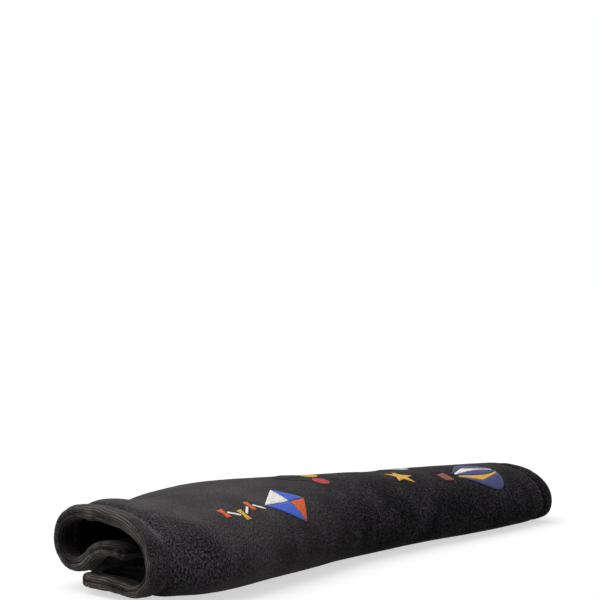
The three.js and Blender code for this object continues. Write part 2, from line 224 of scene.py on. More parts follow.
class Wrap:
    """The rolled wall: turns places of the flat panel into places of the pad."""

    SAMPLES = 12
    TABLE_STEP = 1.0
    TABLE_COLUMNS = 480
    LAST_CELL = 1.000001

    def __init__(self, sizes: WrapSizes) -> None:
        """Works out the wall's middle line along the whole pad.

        Args:
            sizes: Driving sizes of the wrap.
        """
        self.sizes = sizes
        self.table_x = evenly(-sizes.half_length, sizes.half_length, self.TABLE_STEP)
        rows = len(self.table_x)
        points, outward, lengths = self.route(self.table_x)
        share = np.linspace(0.0, 1.0, self.TABLE_COLUMNS)
        # Each cell holds the middle line's y and z, and then its outward direction's.
        table = np.empty((rows, self.TABLE_COLUMNS, 4))
        for row in range(rows):
            run = lengths[row] / lengths[row, -1]
            for column in range(2):
                table[row, :, column] = np.interp(share, run, points[row, :, column])
                table[row, :, 2 + column] = np.interp(share, run, outward[row, :, column])
        self.table = table
        middle = rows // 2
        self.width = float(lengths[middle, -1])
        reach = table[:, :, 0] + table[:, :, 2] * sizes.half_wall
        self.shift = -float(reach.min() + reach.max()) / 2

    def station_values(self, name: str, share: Points) -> Points:
        """Interpolates one station value, with Catmull-Rom slopes.

        Args:
            name: near, far or height.
            share: Shares of the pad's length.

        Returns:
            The value at each share.
        """
        at = np.array([station.at for station in self.sizes.stations])
        value = np.array([getattr(station, name) for station in self.sizes.stations])
        last = len(at) - 1
        before = np.maximum(np.arange(last + 1) - 1, 0)
        after = np.minimum(np.arange(last + 1) + 1, last)
        slope = (value[after] - value[before]) / (at[after] - at[before])
        k = np.clip(np.searchsorted(at, share, side="left") - 1, 0, last - 1)
        span = at[k + 1] - at[k]
        t = (share - at[k]) / span
        start, end, rise = slope[k] * span, slope[k + 1] * span, value[k + 1] - value[k]
        return value[k] + t * (start + t * (3 * rise - 2 * start - end + t * (start + end - 2 * rise)))

    def openness(self, x: Points, length: float) -> Points:
        """How far the wrap has opened: 1 at the near end, 0 beyond the given length."""
        return 1.0 - smooth(x + self.sizes.half_length, 0.0, length)

    def controls(self, x: Points) -> Points:
        """Control points of the middle line, read off the photograph's open end and the shut body.

        Args:
            x: Places along the pad, in mm.

        Returns:
            The control points of each section, as (place, control, y or z).
        """
        s = self.sizes
        share = (x + s.half_length) / s.length
        near = s.half_wall - self.station_values("near", share)
        far = self.station_values("far", share) - s.half_wall
        floor = np.full_like(x, s.half_wall)
        top = self.station_values("height", share) - s.half_wall
        flap = floor + s.wall + 2 * s.strip_thickness + 3 * s.seat
        edge = np.full_like(x, s.flap_edge)

        def lift(part: float) -> Points:
            """Level at a part of the way from the ground to the top."""
            return floor + (top - floor) * part

        # Each row holds y and z where the wrap is shut, and then y and z where it is open.
        flap_and_near_fold = (
            (edge, floor, 0.91 * edge, floor + s.rim_curl),
            (-0.17 * edge, floor, -0.6 * edge, floor + 0.9 * s.rim_curl),
            (0.41 * near, floor, 0.49 * near, floor + 0.9 * s.rim_curl),
            (0.8 * near, floor, 0.82 * near, floor + 0.3 * s.rim_curl),
            (1.08 * near, lift(0.28), 1.09 * near, lift(0.32)),
            (0.91 * near, lift(0.69), 0.98 * near, lift(0.71)),
            (0.6 * near, lift(0.88), 0.69 * near, lift(0.87)),
            (0.24 * near, lift(0.99), 0.4 * near, lift(0.98)),
            (0.13 * far, lift(1.01), 0.07 * near, lift(1.01)),
        )
        far_fold = (
            (0.52 * far, lift(0.97), 0.34 * far, lift(1.01)),
            (0.9 * far, lift(0.88), 0.83 * far, lift(0.95)),
            (1.05 * far, lift(0.5), 1.07 * far, lift(0.54)),
            (0.98 * far, flap - s.fold_droop, 0.73 * far, lift(0.22)),
            (0.6 * far, flap - s.fold_droop, 0.25 * far, lift(0.31)),
        )
        inner_flap = (
            (0.34 * far, flap + 0.22 * s.fold_droop, 0.03 * near, lift(0.565)),
            (0.1 * near, flap, 0.33 * near, lift(0.58)),
            (0.5 * near, flap, 0.55 * near, lift(0.53)),
        )
        places = []
        for rows, length in ((flap_and_near_fold, s.open_length), (far_fold, s.fold_open_length),
                             (inner_flap, s.open_length)):
            wide = self.openness(x, length)
            places += [[a * (1 - wide) + c * wide, b * (1 - wide) + d * wide] for a, b, c, d in rows]
        return np.array(places).transpose(2, 0, 1)

    def route(self, x: Points) -> tuple[Points, Points, Points]:
        """Follows the middle line of each section as a cubic B-spline.

        Args:
            x: Places along the pad, in mm.

        Returns:
            Points, outward directions and lengths run so far, for each section.
        """
        inner = self.controls(x)
        first = 2 * inner[:, :1] - inner[:, 1:2]
        last = 2 * inner[:, -1:] - inner[:, -2:-1]
        hull = np.concatenate([first, inner, last], axis=1)
        spans = hull.shape[1] - 3
        t = np.arange(self.SAMPLES) / self.SAMPLES
        end = np.ones(1)
        points, along = [], []
        for span in range(spans):
            step = t if span < spans - 1 else np.concatenate([t, end])
            # Weights of a uniform cubic B-spline, and their slopes.
            weight = np.array([
                (1 - step) ** 3 / 6,
                (3 * step**3 - 6 * step**2 + 4) / 6,
                (-3 * step**3 + 3 * step**2 + 3 * step + 1) / 6,
                step**3 / 6,
            ])
            slope = np.array([
                -((1 - step) ** 2) / 2,
                (3 * step**2 - 4 * step) / 2,
                (-3 * step**2 + 2 * step + 1) / 2,
                step**2 / 2,
            ])
            points.append(np.einsum("kt,nkc->ntc", weight, hull[:, span:span + 4]))
            along.append(np.einsum("kt,nkc->ntc", slope, hull[:, span:span + 4]))
        line = np.concatenate(points, axis=1)
        way = np.concatenate(along, axis=1)
        way /= np.linalg.norm(way, axis=2, keepdims=True)
        outward = np.stack([-way[..., 1], way[..., 0]], axis=2)
        legs = np.linalg.norm(np.diff(line, axis=1), axis=2)
        lengths = np.concatenate([np.zeros((len(x), 1)), np.cumsum(legs, axis=1)], axis=1)
        return line, outward, lengths

    def rounded_place(self, u: Points, x: Points) -> Points:
        """Rounds the flat panel's corners.

        Args:
            u: Places across the panel, in mm.
            x: Places along the pad, in mm.

        Returns:
            Places along the pad on the panel with rounded corners.
        """
        s = self.sizes
        inside = np.maximum(s.corner_radius - np.clip(self.from_side(u), 0.0, None), 0.0)
        cut = s.corner_radius - np.sqrt(s.corner_radius**2 - inside**2)
        return x - np.sign(x) * cut * smooth(np.abs(x), s.half_length - s.corner_reach, s.half_length)

    def roll(self, u: Points, x: Points, w: Points) -> Points:
        """Rolls places of the flat panel up.

        Args:
            u: Places across the panel, in mm.
            x: Places along the pad, in mm.
            w: Heights over the wall's middle, positive on the outside.

        Returns:
            One row of x, y, z in mm for each place.
        """
        row = np.clip((x + self.sizes.half_length) / self.TABLE_STEP, 0, len(self.table_x) - self.LAST_CELL)
        column = np.clip(u / self.width, 0, 1) * (self.TABLE_COLUMNS - self.LAST_CELL)
        i, j = row.astype(int), column.astype(int)
        s, t = (row - i)[..., None], (column - j)[..., None]
        value = (
            self.table[i, j] * (1 - s) * (1 - t)
            + self.table[i + 1, j] * s * (1 - t)
            + self.table[i, j + 1] * (1 - s) * t
            + self.table[i + 1, j + 1] * s * t
        )
        normal = value[..., 2:] / np.linalg.norm(value[..., 2:], axis=-1, keepdims=True)
        place = value[..., :2] + normal * w[..., None]
        return np.stack([self.rounded_place(u, x), place[..., 0] + self.shift, place[..., 1]], axis=-1)

    def from_end(self, x: Points) -> Points:
        """Distance to the nearer end of the panel, in mm."""
        return self.sizes.half_length - np.abs(x)

    def from_side(self, u: Points) -> Points:
        """Distance to the nearer side of the panel, in mm."""
        return np.minimum(u, self.width - u)

    def edge_distance(self, u: Points, x: Points) -> Points:
        """Distance to the nearest edge of the flat panel, in mm."""
        return np.maximum(np.minimum(self.from_side(u), self.from_end(x)), 0.0)

    def stretched(self, u: Points, x: Points) -> Points:
        """How far the hem is stretched: 1 at the open rim's near fold, 0 away from it."""
        s = self.sizes
        return self.openness(x, s.stretch_length) * bell(u, s.stretch_share * self.width, s.stretch_spread)

    def half_thickness(self, u: Points, x: Points) -> Points:
        """Half of the wall's thickness: rounded at every edge, pinched in the hem grooves.

        Args:
            u: Places across the panel, in mm.
            x: Places along the pad, in mm.

        Returns:
            Half thicknesses in mm.
        """
        s = self.sizes
        to_edge = np.minimum(self.edge_distance(u, x), s.half_wall)
        rounding = np.sqrt(1 - (1 - to_edge / s.half_wall) ** 2)
        pinch = s.groove_depth * bell(self.from_end(x), s.hem_width, s.groove_spread)
        thinned = s.stretch_thinning * self.stretched(u, x)
        return s.edge_height + (s.half_wall - s.edge_height - pinch - thinned) * rounding


@dataclass(frozen=True)
class Dent:
    """A soft dip in the padding, or a swelling where its depth is negative.

    Args:
        share: Its place across the panel, as a share of the panel's width.
        x: Its place along the pad, in mm.
        across: Its reach across the panel, in mm.
        along: Its reach along the pad, in mm.
        depth: How deep it is, in mm.
    """

    share: float
    x: float
    across: float
    along: float
    depth: float


@dataclass
class SoftForm:
    """Unevenness of the pad: slack waves, dents, puckers, pile rows and pile grain.

    A painted-shade turn is a share of the panel's width, its spread in mm and how far it takes the rim's
    colours away there, leaving the darker pile as painted shade.
    """

    wrap: Wrap
    wave_height: float = 0.5
    waves: tuple[NoiseLayer, ...] = (NoiseLayer(34.0, 46.0), NoiseLayer(15.0, 21.0, 0.5, 71.0))
    wave_at_edge: float = 0.35
    wave_rise: float = 12.0
    pucker_height: float = 0.28
    pucker_spread: float = 5.0
    pucker_line: float = 40.0
    puckers: NoiseLayer = NoiseLayer(3.25, 60.0)
    rim_wander: float = 0.35
    rim_line: float = 90.0
    rim_waves: NoiseLayer = NoiseLayer(5.0, 60.0, 1.0, 19.0)
    ridge_pitch: float = 1.5
    ridge_height: float = 0.24
    ridge_corner: float = 7.0
    ridge_reach: dict[Side, float] = field(default_factory=lambda: {Side.OUTSIDE: 5.2, Side.INSIDE: 4.6})
    ridge_wander: tuple[NoiseLayer, ...] = (NoiseLayer(9.0, 9.0, 0.7), NoiseLayer(3.0, 3.0, 0.25, 63.0))
    ridge_crest: float = 0.8
    ridge_tufts: tuple[NoiseLayer, ...] = (NoiseLayer(2.6, 2.6, 0.55), NoiseLayer(0.9, 0.9, 0.2, 31.0))
    stretched_reach: float = 1.9
    hem_fade: float = 0.65
    rim_band: tuple[float, float] = (1.5, 5.0)
    painted_shade_turns: tuple[tuple[float, float, float], ...] = ((0.71, 20.0, 0.95), (1.0, 13.0, 0.85))
    grain_height: float = 0.04
    grain: tuple[NoiseLayer, ...] = (NoiseLayer(0.9, 1.1), NoiseLayer(2.6, 1.7, 0.35, 40.0))
    dents: tuple[Dent, ...] = (
        Dent(0.60, -118.0, 16.0, 6.0, -1.3),
        Dent(0.58, -105.0, 18.0, 7.0, 1.1),
        Dent(0.22, -100.0, 14.0, 26.0, -0.9),
        Dent(0.50, 38.0, 9.0, 9.0, 0.8),
        Dent(0.47, 12.0, 8.0, 8.0, 0.6),
        Dent(0.42, -60.0, 16.0, 16.0, 0.6),
        Dent(0.36, 60.0, 14.0, 14.0, 0.5),
    )
    slack: LatticeNoise = field(default_factory=lambda: LatticeNoise(11))
    tufts: LatticeNoise = field(default_factory=lambda: LatticeNoise(23))
    fibres: LatticeNoise = field(default_factory=lambda: LatticeNoise(37))

    def drift(self, u: Points, x: Points) -> Points:
        """How far the whole wall stands out of its smooth form.

        Args:
            u: Places across the panel, in mm.
            x: Places along the pad, in mm.

        Returns:
            Outward moves in mm.
        """
        hem, endways = self.wrap.sizes.hem_width, self.wrap.from_end(x)
        on_field = smooth(self.wrap.edge_distance(u, x), hem, hem + self.wave_rise)
        steadied = self.wave_at_edge + (1 - self.wave_at_edge) * on_field
        move = self.wave_height * self.slack.at(u, x, *self.waves) * steadied
        # Puckers and the rim's wander vary across only, so each end reads one line of the lattice.
        gather = self.tufts.at(u, np.sign(x) * self.pucker_line, self.puckers)
        move = move + self.pucker_height * gather * bell(endways, hem, self.pucker_spread)
        wander = self.tufts.at(u, np.sign(x) * self.rim_line, self.rim_waves)
        move = move + self.rim_wander * wander * (1.0 - smooth(endways, 0.0, hem))
        for dent in self.dents:
            sideways = bell(u, dent.share * self.wrap.width, dent.across)
            move = move - dent.depth * sideways * bell(x, dent.x, dent.along)
        return move

    def arc(self, u: Points, x: Points) -> Points:
        """Measures the way round the rounded edge.

        Args:
            u: Places across the panel, in mm.
            x: Places along the pad, in mm.

        Returns:
            Lengths from the edge's middle seam, in mm.
        """
        half = self.wrap.sizes.half_wall
        e = self.wrap.edge_distance(u, x)
        turned = half * np.arccos(np.clip(1 - e / half, 0.0, 1.0))
        return np.where(e < half, turned, half * math.pi / 2 + e - half)

    def ridge(self, u: Points, x: Points) -> Points:
        """Lays rounded rows of pile along every edge, turning with the corners.

        Args:
            u: Places across the panel, in mm.
            x: Places along the pad, in mm.

        Returns:
            Values from 0 in a furrow to 1 on a crest.
        """
        endways, sideways = self.wrap.from_end(x), self.wrap.from_side(u)
        to_end, to_side = (np.maximum(self.ridge_corner - gap, 0.0) for gap in (endways, sideways))
        turned = self.ridge_corner - np.hypot(to_end, to_side)
        arc = self.arc(u, x) + np.minimum(turned - np.minimum(endways, sideways), 0.0)
        phase = (arc + self.slack.at(u, x, *self.ridge_wander)) / self.ridge_pitch
        rows = 0.5 - 0.5 * np.cos(2 * np.pi * phase)
        return np.clip(rows * (self.ridge_crest + self.tufts.at(u, x, *self.ridge_tufts)), 0.0, 1.0)

    def hem(self, u: Points, x: Points, side: Side) -> Points:
        """How much a place belongs to the pad's rims.

        Args:
            u: Places across the panel, in mm.
            x: Places along the pad, in mm.
            side: Face of the wall.

        Returns:
            1 on the edge roll, falling to 0 on the field, and narrow where the hem is stretched.
        """
        full = self.ridge_reach[side]
        reach = full + (self.stretched_reach - full) * self.wrap.stretched(u, x)
        return 1.0 - smooth(self.arc(u, x) / reach, self.hem_fade, 1.0)

    def end_hem(self, u: Points, x: Points, side: Side) -> Points:
        """The part of the hem at the pad's two ends that takes the rim rows' colours, taken away at the far
        fold and the tucked tip as painted shade.

        Args:
            u: Places across the panel, in mm.
            x: Places along the pad, in mm.
            side: Face of the wall.

        Returns:
            1 where the rim rows' colours show, falling to 0 on the field and in the painted shade of the far
            fold and the tucked tip.
        """
        rim_share = self.hem(u, x, side) * (1.0 - smooth(self.wrap.from_end(x), *self.rim_band))
        # The far fold and the tucked tip lose the rim's colours: painted shade.
        for share, spread, shade_strength in self.painted_shade_turns:
            rim_share = rim_share * (1.0 - shade_strength * bell(u, share * self.wrap.width, spread))
        return rim_share

    def relief(self, u: Points, x: Points, side: Side) -> Points:
        """Fine relief along the surface's own direction, in mm: pile rows at the edges and pile grain."""
        rows = self.ridge_height * (self.ridge(u, x) - 0.5) * self.hem(u, x, side)
        return rows + self.grain_height * self.fibres.at(u, x, *self.grain)


# Mesh tools


def mesh_object(name: str, points: Points, faces: Sequence[Sequence[int]],
                edges: Sequence[Sequence[int]] = ()) -> bpy.types.Object:
    """Makes an object at the origin from points in mm.

    Args:
        name: Name of the piece.
        points: Rows of x, y, z in mm.
        faces: Lists of point numbers.
        edges: Pairs of point numbers, for a line that has no faces.

    Returns:
        The linked object.
    """
    mesh = bpy.data.meshes.new(name)
    mesh.from_pydata((points * MM).tolist(), edges, faces)
    mesh.validate()
    thing = bpy.data.objects.new(name, mesh)
    bpy.context.scene.collection.objects.link(thing)
    return thing


def shade_smooth(mesh: bpy.types.Mesh) -> None:
    """Shades every face of a mesh smooth."""
    for polygon in mesh.polygons:
        polygon.use_smooth = True


def face_out(thing: bpy.types.Object) -> None:
    """Merges doubled points, turns every face outwards and shades the piece smooth.

    Args:
        thing: The piece.
    """
    work = bmesh.new()
    work.from_mesh(thing.data)
    bmesh.ops.remove_doubles(work, verts=work.verts, dist=MERGE_REACH)
    bmesh.ops.recalc_face_normals(work, faces=work.faces)
    work.to_mesh(thing.data)
    work.free()
    shade_smooth(thing.data)


def point_attribute(thing: bpy.types.Object, name: str, values: Points) -> None:
    """Stores one number for each point of a mesh."""
    made = thing.data.attributes.new(name, "FLOAT", "POINT")
    made.data.foreach_set("value", values.astype(np.float32))


def panel_uv(thing: bpy.types.Object, u: Points, x: Points) -> None:
    """Writes the flat panel's places as the piece's UV map.

    Args:
        thing: The piece.
        u: Place across the panel of each point, in mm.
        x: Place along the panel of each point, in mm.
    """
    layer = thing.data.uv_layers.new(name=PANEL_UV)
    corner = np.empty(len(thing.data.loops), np.int32)
    thing.data.loops.foreach_get("vertex_index", corner)
    flat = np.stack([u[corner], x[corner] + UV_SPAN_MM / 2], axis=1) / UV_SPAN_MM
    layer.data.foreach_set("uv", flat.astype(np.float32).ravel())


def zip_rows(first: list[int], first_at: Points, second: list[int], second_at: Points) -> list[list[int]]:
    """Joins two rows of points of different spacing with triangles.

    Args:
        first: Point numbers of one row.
        first_at: Place of each of them along the row.
        second: Point numbers of the other row.
        second_at: Place of each of them along the row.

    Returns:
        The triangles.
    """
    faces = []
    i = j = 0
    while i < len(first) - 1 or j < len(second) - 1:
        step_first = j == len(second) - 1 or (i < len(first) - 1 and first_at[i + 1] <= second_at[j + 1])
        if step_first:
            faces.append([first[i], first[i + 1], second[j]])
            i += 1
        else:
            faces.append([first[i], second[j + 1], second[j]])
            j += 1
    return faces


def grid_faces(rows: int, columns: int, start: int) -> Points:
    """Quads of a grid of points that are numbered row by row."""
    index = start + np.arange(rows * columns).reshape(rows, columns)
    return np.stack([index[:-1, :-1], index[:-1, 1:], index[1:, 1:], index[1:, :-1]], axis=-1).reshape(-1, 4)


def grid_normals(grid: Points) -> Points:
    """Unit normals of a grid of places, shaped rows, columns, 3."""
    normal = np.cross(np.gradient(grid, axis=0), np.gradient(grid, axis=1))
    return normal / np.maximum(np.linalg.norm(normal, axis=-1, keepdims=True), TINY)


def slab(sheets: Sequence[Points]) -> tuple[Points, list[list[int]]]:
    """Closes the room between two grids of places.

    Args:
        sheets: Two grids of the same shape, rows, columns, 3.

    Returns:
        The points and the faces of the closed slab.
    """
    rows, columns = sheets[0].shape[:2]
    count = rows * columns
    index = np.arange(count).reshape(rows, columns)
    faces = grid_faces(rows, columns, 0).tolist() + grid_faces(rows, columns, count)[:, ::-1].tolist()
    for edge in (index[0], index[-1], index[:, 0], index[:, -1]):
        for a, b in zip(edge[:-1].tolist(), edge[1:].tolist(), strict=True):
            faces.append([a, b, b + count, a + count])
    return np.concatenate([sheet.reshape(-1, 3) for sheet in sheets]), faces


# Materials


def linear(colour: str) -> tuple[float, float, float, float]:
    """Turns an sRGB hex value, such as 2b292c, into linear light.

    Args:
        colour: The hex value.

    Returns:
        Linear red, green and blue, and an alpha of 1.
    """
    parts = [int(colour[k:k + 2], 16) / 255 for k in (0, 2, 4)]
    curve = [c / 12.92 if c <= 0.04045 else ((c + 0.055) / 1.055) ** 2.4 for c in parts]
    return (curve[0], curve[1], curve[2], 1.0)


def feed(tree: bpy.types.NodeTree, node: bpy.types.Node, inputs: Inputs) -> None:
    """Sets or links the inputs of a node.

    Args:
        tree: The node's tree.
        node: The node.
        inputs: By socket name or number, a value, a socket to link, or a node whose first output is linked.
    """
    for name, value in inputs.items():
        source = value.outputs[0] if isinstance(value, bpy.types.Node) else value
        if isinstance(source, bpy.types.NodeSocket):
            tree.links.new(source, node.inputs[name])
        else:
            node.inputs[name].default_value = source


def add_node(tree: bpy.types.NodeTree, kind: str, inputs: Inputs | None = None,
             **settings: object) -> bpy.types.Node:
    """Adds a node with its settings, values and links.

    Args:
        tree: Node tree to add to.
        kind: Node type.
        inputs: Its inputs, as feed takes them.
        settings: Node properties by name.

    Returns:
        The node.
    """
    node = tree.nodes.new(kind)
    for name, value in settings.items():
        setattr(node, name, value)
    feed(tree, node, inputs or {})
    return node


def colour_steps(tree: bpy.types.NodeTree, factor: object, *stops: Stop) -> bpy.types.Node:
    """Colours a factor through a ramp.

    Args:
        tree: Node tree to add to.
        factor: Node or socket that gives a value from 0 to 1.
        stops: Position and sRGB hex value of each stop.

    Returns:
        The ramp.
    """
    ramp = add_node(tree, "ShaderNodeValToRGB", {"Fac": factor})
    while len(ramp.color_ramp.elements) < len(stops):
        ramp.color_ramp.elements.new(0.5)
    for element, (position, colour) in zip(ramp.color_ramp.elements, stops, strict=True):
        element.position = position
        element.color = linear(colour)
    return ramp


@dataclass(frozen=True)
class Finish:
    """A finish that every material starts from: its name, roughness and sheen."""

    name: str
    roughness: float = 0.9
    sheen: float = 0.0
    sheen_roughness: float = 0.4
    sheen_tint: str = "ffffff"
    specular: float = 0.5

    def pattern(self, tree: bpy.types.NodeTree) -> Inputs:
        """Inputs of the shader that the finish's own pattern feeds."""
        return {}

    def material(self) -> bpy.types.Material:
        """Builds the material.

        Returns:
            The material, with its pattern linked to its shader.
        """
        material = bpy.data.materials.new(self.name)
        material.use_nodes = True
        tree = material.node_tree
        plain = {
            "Roughness": self.roughness,
            "Sheen Weight": self.sheen,
            "Sheen Roughness": self.sheen_roughness,
            "Sheen Tint": linear(self.sheen_tint),
            "Specular IOR Level": self.specular,
        }
        feed(tree, tree.nodes["Principled BSDF"], plain)
        feed(tree, tree.nodes["Principled BSDF"], self.pattern(tree))
        return material


@dataclass(frozen=True)
class Plush(Finish):
    """Weft-knitted polyester plush, brushed and sheared: a short velvet pile.

    It is nearly black where it is looked at straight down the pile and greyer at a flat angle. It shows a
    fine grain with soft blotches where the pile leans another way. Its edge rows are a browner grey, painted
    lighter on their crests as painted highlight and darker in their furrows as painted shade. Its colour is
    also painted darker towards the far end, as painted shade. A pile fibre is about 0.02 mm thick, which is
    too fine to show, so the grain is drawn as coarse as a tuft.
    """

    name: str = "charcoal_plush_sheared_knit"
    roughness: float = 1.0
    sheen: float = 0.5
    sheen_roughness: float = 0.45
    sheen_tint: str = "a9a2a3"
    specular: float = 0.05
    deep: Stop = (0.30, "0e0d0f")
    body: Stop = (0.50, "1f1d20")
    light: Stop = (0.72, "4a474a")
    # Colours of the rim rows: darker in the furrows as painted shade, lighter on the crests as painted
    # highlight.
    furrow: Stop = (0.25, "1b1919")
    crest: Stop = (1.0, "625c59")
    tone: float = 0.47
    fibre_across_mm: float = 0.75
    fibre_along_mm: float = 0.55
    grain_gain: float = 4.0
    row_mm: float = 1.4
    row_gain: float = 0.05
    tuft_mm: float = 1.6
    tuft_gain: tuple[float, float] = (0.1, 0.8)
    blotch_mm: float = 14.0
    blotch_gain: float = 0.75
    nap_and_shade_turn_mm: tuple[float, float] = (-120.0, 30.0)
    # How much the colour is painted darker towards the far end, as painted shade.
    far_end_painted_shade: float = -0.13
    far_sheen_roughness: float = 0.22
    crest_gain: float = 0.72
    crest_tone: float = -0.32
    crest_grain: float = 1.2
    relief_mm: float = 0.03

    def pattern(self, tree: bpy.types.NodeTree) -> Inputs:
        """Builds the pile on the field and the pile rows on the rims, in the flat panel's places.

        Args:
            tree: The material's tree.

        Returns:
            Colour, relief and sheen roughness, by the shader's inputs.
        """
        node = partial(add_node, tree)
        flat = node("ShaderNodeUVMap", uv_map=PANEL_UV)
        fibres = (UV_SPAN_MM / self.fibre_across_mm, UV_SPAN_MM / self.fibre_along_mm, 1.0)
        in_fibres = node("ShaderNodeVectorMath", {0: flat, 1: fibres}, operation="MULTIPLY")
        in_mm = node("ShaderNodeVectorMath", {0: flat, "Scale": UV_SPAN_MM}, operation="SCALE")
        grain = node("ShaderNodeTexNoise",
                     {"Vector": in_fibres, "Scale": 1.0, "Detail": 5.0, "Roughness": 0.85})
        rows = node("ShaderNodeTexWave",
                    {"Vector": in_mm, "Scale": WAVE_PERIOD / self.row_mm, "Distortion": 3.0, "Detail": 2.0,
                     "Detail Scale": 0.4}, bands_direction="Y")
        blotch = node("ShaderNodeTexNoise",
                      {"Vector": in_mm, "Scale": 1 / self.blotch_mm, "Detail": 4.0, "Roughness": 0.6})
        tufts = node("ShaderNodeTexNoise", {"Vector": in_mm, "Scale": 1 / self.tuft_mm, "Detail": 2.0})

        # Along the pad the nap turns: the pile gets more tufted and tighter in its sheen, and its colour is
        # painted darker towards the far end as painted shade.
        along = node("ShaderNodeSeparateXYZ", {0: flat}).outputs["Y"]
        start, end = (0.5 + x / UV_SPAN_MM for x in self.nap_and_shade_turn_mm)
        tuft_gain, sheen, far_end_painted_shade = (
            node("ShaderNodeMapRange",
                 {"Value": along, "From Min": start, "From Max": end, "To Min": near, "To Max": far},
                 interpolation_type="SMOOTHSTEP")
            for near, far in (self.tuft_gain, (self.sheen_roughness, self.far_sheen_roughness),
                              (0.0, self.far_end_painted_shade))
        )
        centred = node("ShaderNodeMath", {0: tufts, 1: 0.5}, operation="SUBTRACT")
        level = self.tone - (self.grain_gain + self.blotch_gain) / 2
        coarse = node("ShaderNodeMath", {0: centred, 1: tuft_gain, 2: level}, operation="MULTIPLY_ADD")
        fine = node("ShaderNodeMath", {0: grain, 1: self.grain_gain, 2: coarse}, operation="MULTIPLY_ADD")
        tone = fine
        layers = ((rows.outputs["Fac"], self.row_gain), (blotch, self.blotch_gain), (far_end_painted_shade, 1.0))
        for layer, gain in layers:
            tone = node("ShaderNodeMath", {0: layer, 1: gain, 2: tone}, operation="MULTIPLY_ADD")
        pile = colour_steps(tree, tone, self.deep, self.body, self.light)

        # On the rims the rows are painted darker in their furrows as painted shade and lighter on their
        # crests as painted highlight.
        ridge, hem = (node("ShaderNodeAttribute", attribute_name=name).outputs["Fac"]
                      for name in ("ridge", "hem"))
        crest = node("ShaderNodeMath", {0: ridge, 1: self.crest_gain, 2: self.crest_tone},
                     operation="MULTIPLY_ADD")
        grained = node("ShaderNodeMath", {0: grain, 1: self.crest_grain, 2: crest}, operation="MULTIPLY_ADD")
        rim = colour_steps(tree, grained, self.furrow, self.crest)
        colour = node("ShaderNodeMix", {0: hem, 6: pile, 7: rim}, data_type="RGBA")
        bump = node("ShaderNodeBump", {"Height": fine, "Strength": 0.8, "Distance": self.relief_mm * MM})
        return {"Base Color": colour.outputs[2], "Normal": bump, "Sheen Roughness": sheen}


# Warp-knitted polyester tricot, lightly brushed: it has the plush's grain, but hardly any sheen. Its
# near-black colours are partly the fabric's own and partly painted shade of the wrap's inside.
LINING = Plush(name="black_tricot_lining_with_painted_shade", sheen=0.12, deep=(0.30, "060606"), body=(0.50, "0e0d0d"),
               light=(0.72, "1c1a1a"))


@dataclass(frozen=True)
class Tape(Finish):
    """Woven nylon hook and loop tape: black, close twill with a slight shine between the hooks."""

    name: str = "black_woven_nylon_tape"
    roughness: float = 0.7
    sheen: float = 0.2
    specular: float = 0.35
    high: Stop = (0.1, "262629")
    low: Stop = (0.8, "121213")
    yarn_mm: float = 0.5
    relief_mm: float = 0.2

    def pattern(self, tree: bpy.types.NodeTree) -> Inputs:
        """Builds the weave: one small cushion for each yarn that shows.

        Args:
            tree: The material's tree.

        Returns:
            Colour and relief, by the shader's inputs.
        """
        place = add_node(tree, "ShaderNodeTexCoord").outputs["Object"]
        weave = add_node(tree, "ShaderNodeTexVoronoi", {"Vector": place, "Scale": 1 / (self.yarn_mm * MM)},
                         feature="F1")
        bump = add_node(tree, "ShaderNodeBump",
                        {"Height": weave, "Strength": 0.6, "Distance": self.relief_mm * MM}, invert=True)
        # Each yarn is painted lighter in its middle as painted highlight and darker towards its edges as
        # painted shade.
        return {"Base Color": colour_steps(tree, weave, self.high, self.low), "Normal": bump}


@dataclass(frozen=True)
class SewingThread(Finish):
    """Spun polyester sewing thread, twisted: dark grey with a dull lustre and a fine slanting twist."""

    name: str = "grey_spun_polyester_thread"
    roughness: float = 0.6
    sheen: float = 0.3
    specular: float = 0.4
    low: Stop = (0.1, "1f1d1e")
    high: Stop = (0.9, "454141")
    twist_mm: float = 0.35

    def pattern(self, tree: bpy.types.NodeTree) -> Inputs:
        """Builds the slanting bands of the twist.

        Args:
            tree: The material's tree.

        Returns:
            Colour, by the shader's input.
        """
        place = add_node(tree, "ShaderNodeTexCoord").outputs["Object"]
        twist = add_node(tree, "ShaderNodeTexWave",
                         {"Vector": place, "Scale": WAVE_PERIOD / (self.twist_mm * MM)},
                         bands_direction="DIAGONAL")
        # The twist's bands are painted lighter and darker across the plies, as painted highlight and painted
        # shade.
        return {"Base Color": colour_steps(tree, twist.outputs["Fac"], self.low, self.high)}


@dataclass(frozen=True)
class Foam(Finish):
    """Open-cell polyurethane foam sheet: mid grey, with the small round cells of a cut face."""

    name: str = "grey_open_cell_foam"
    roughness: float = 1.0
    specular: float = 0.1
    low: Stop = (0.0, "4a4a48")
    high: Stop = (0.7, "80807c")
    cell_mm: float = 0.8

    def pattern(self, tree: bpy.types.NodeTree) -> Inputs:
        """Builds the cut cells, painted dark in their middles as painted shade in their hollows.

        Args:
            tree: The material's tree.

        Returns:
            Colour, by the shader's input.
        """
        place = add_node(tree, "ShaderNodeTexCoord").outputs["Object"]
        cells = add_node(tree, "ShaderNodeTexVoronoi", {"Vector": place, "Scale": 1 / (self.cell_mm * MM)})
        return {"Base Color": colour_steps(tree, cells, self.low, self.high)}


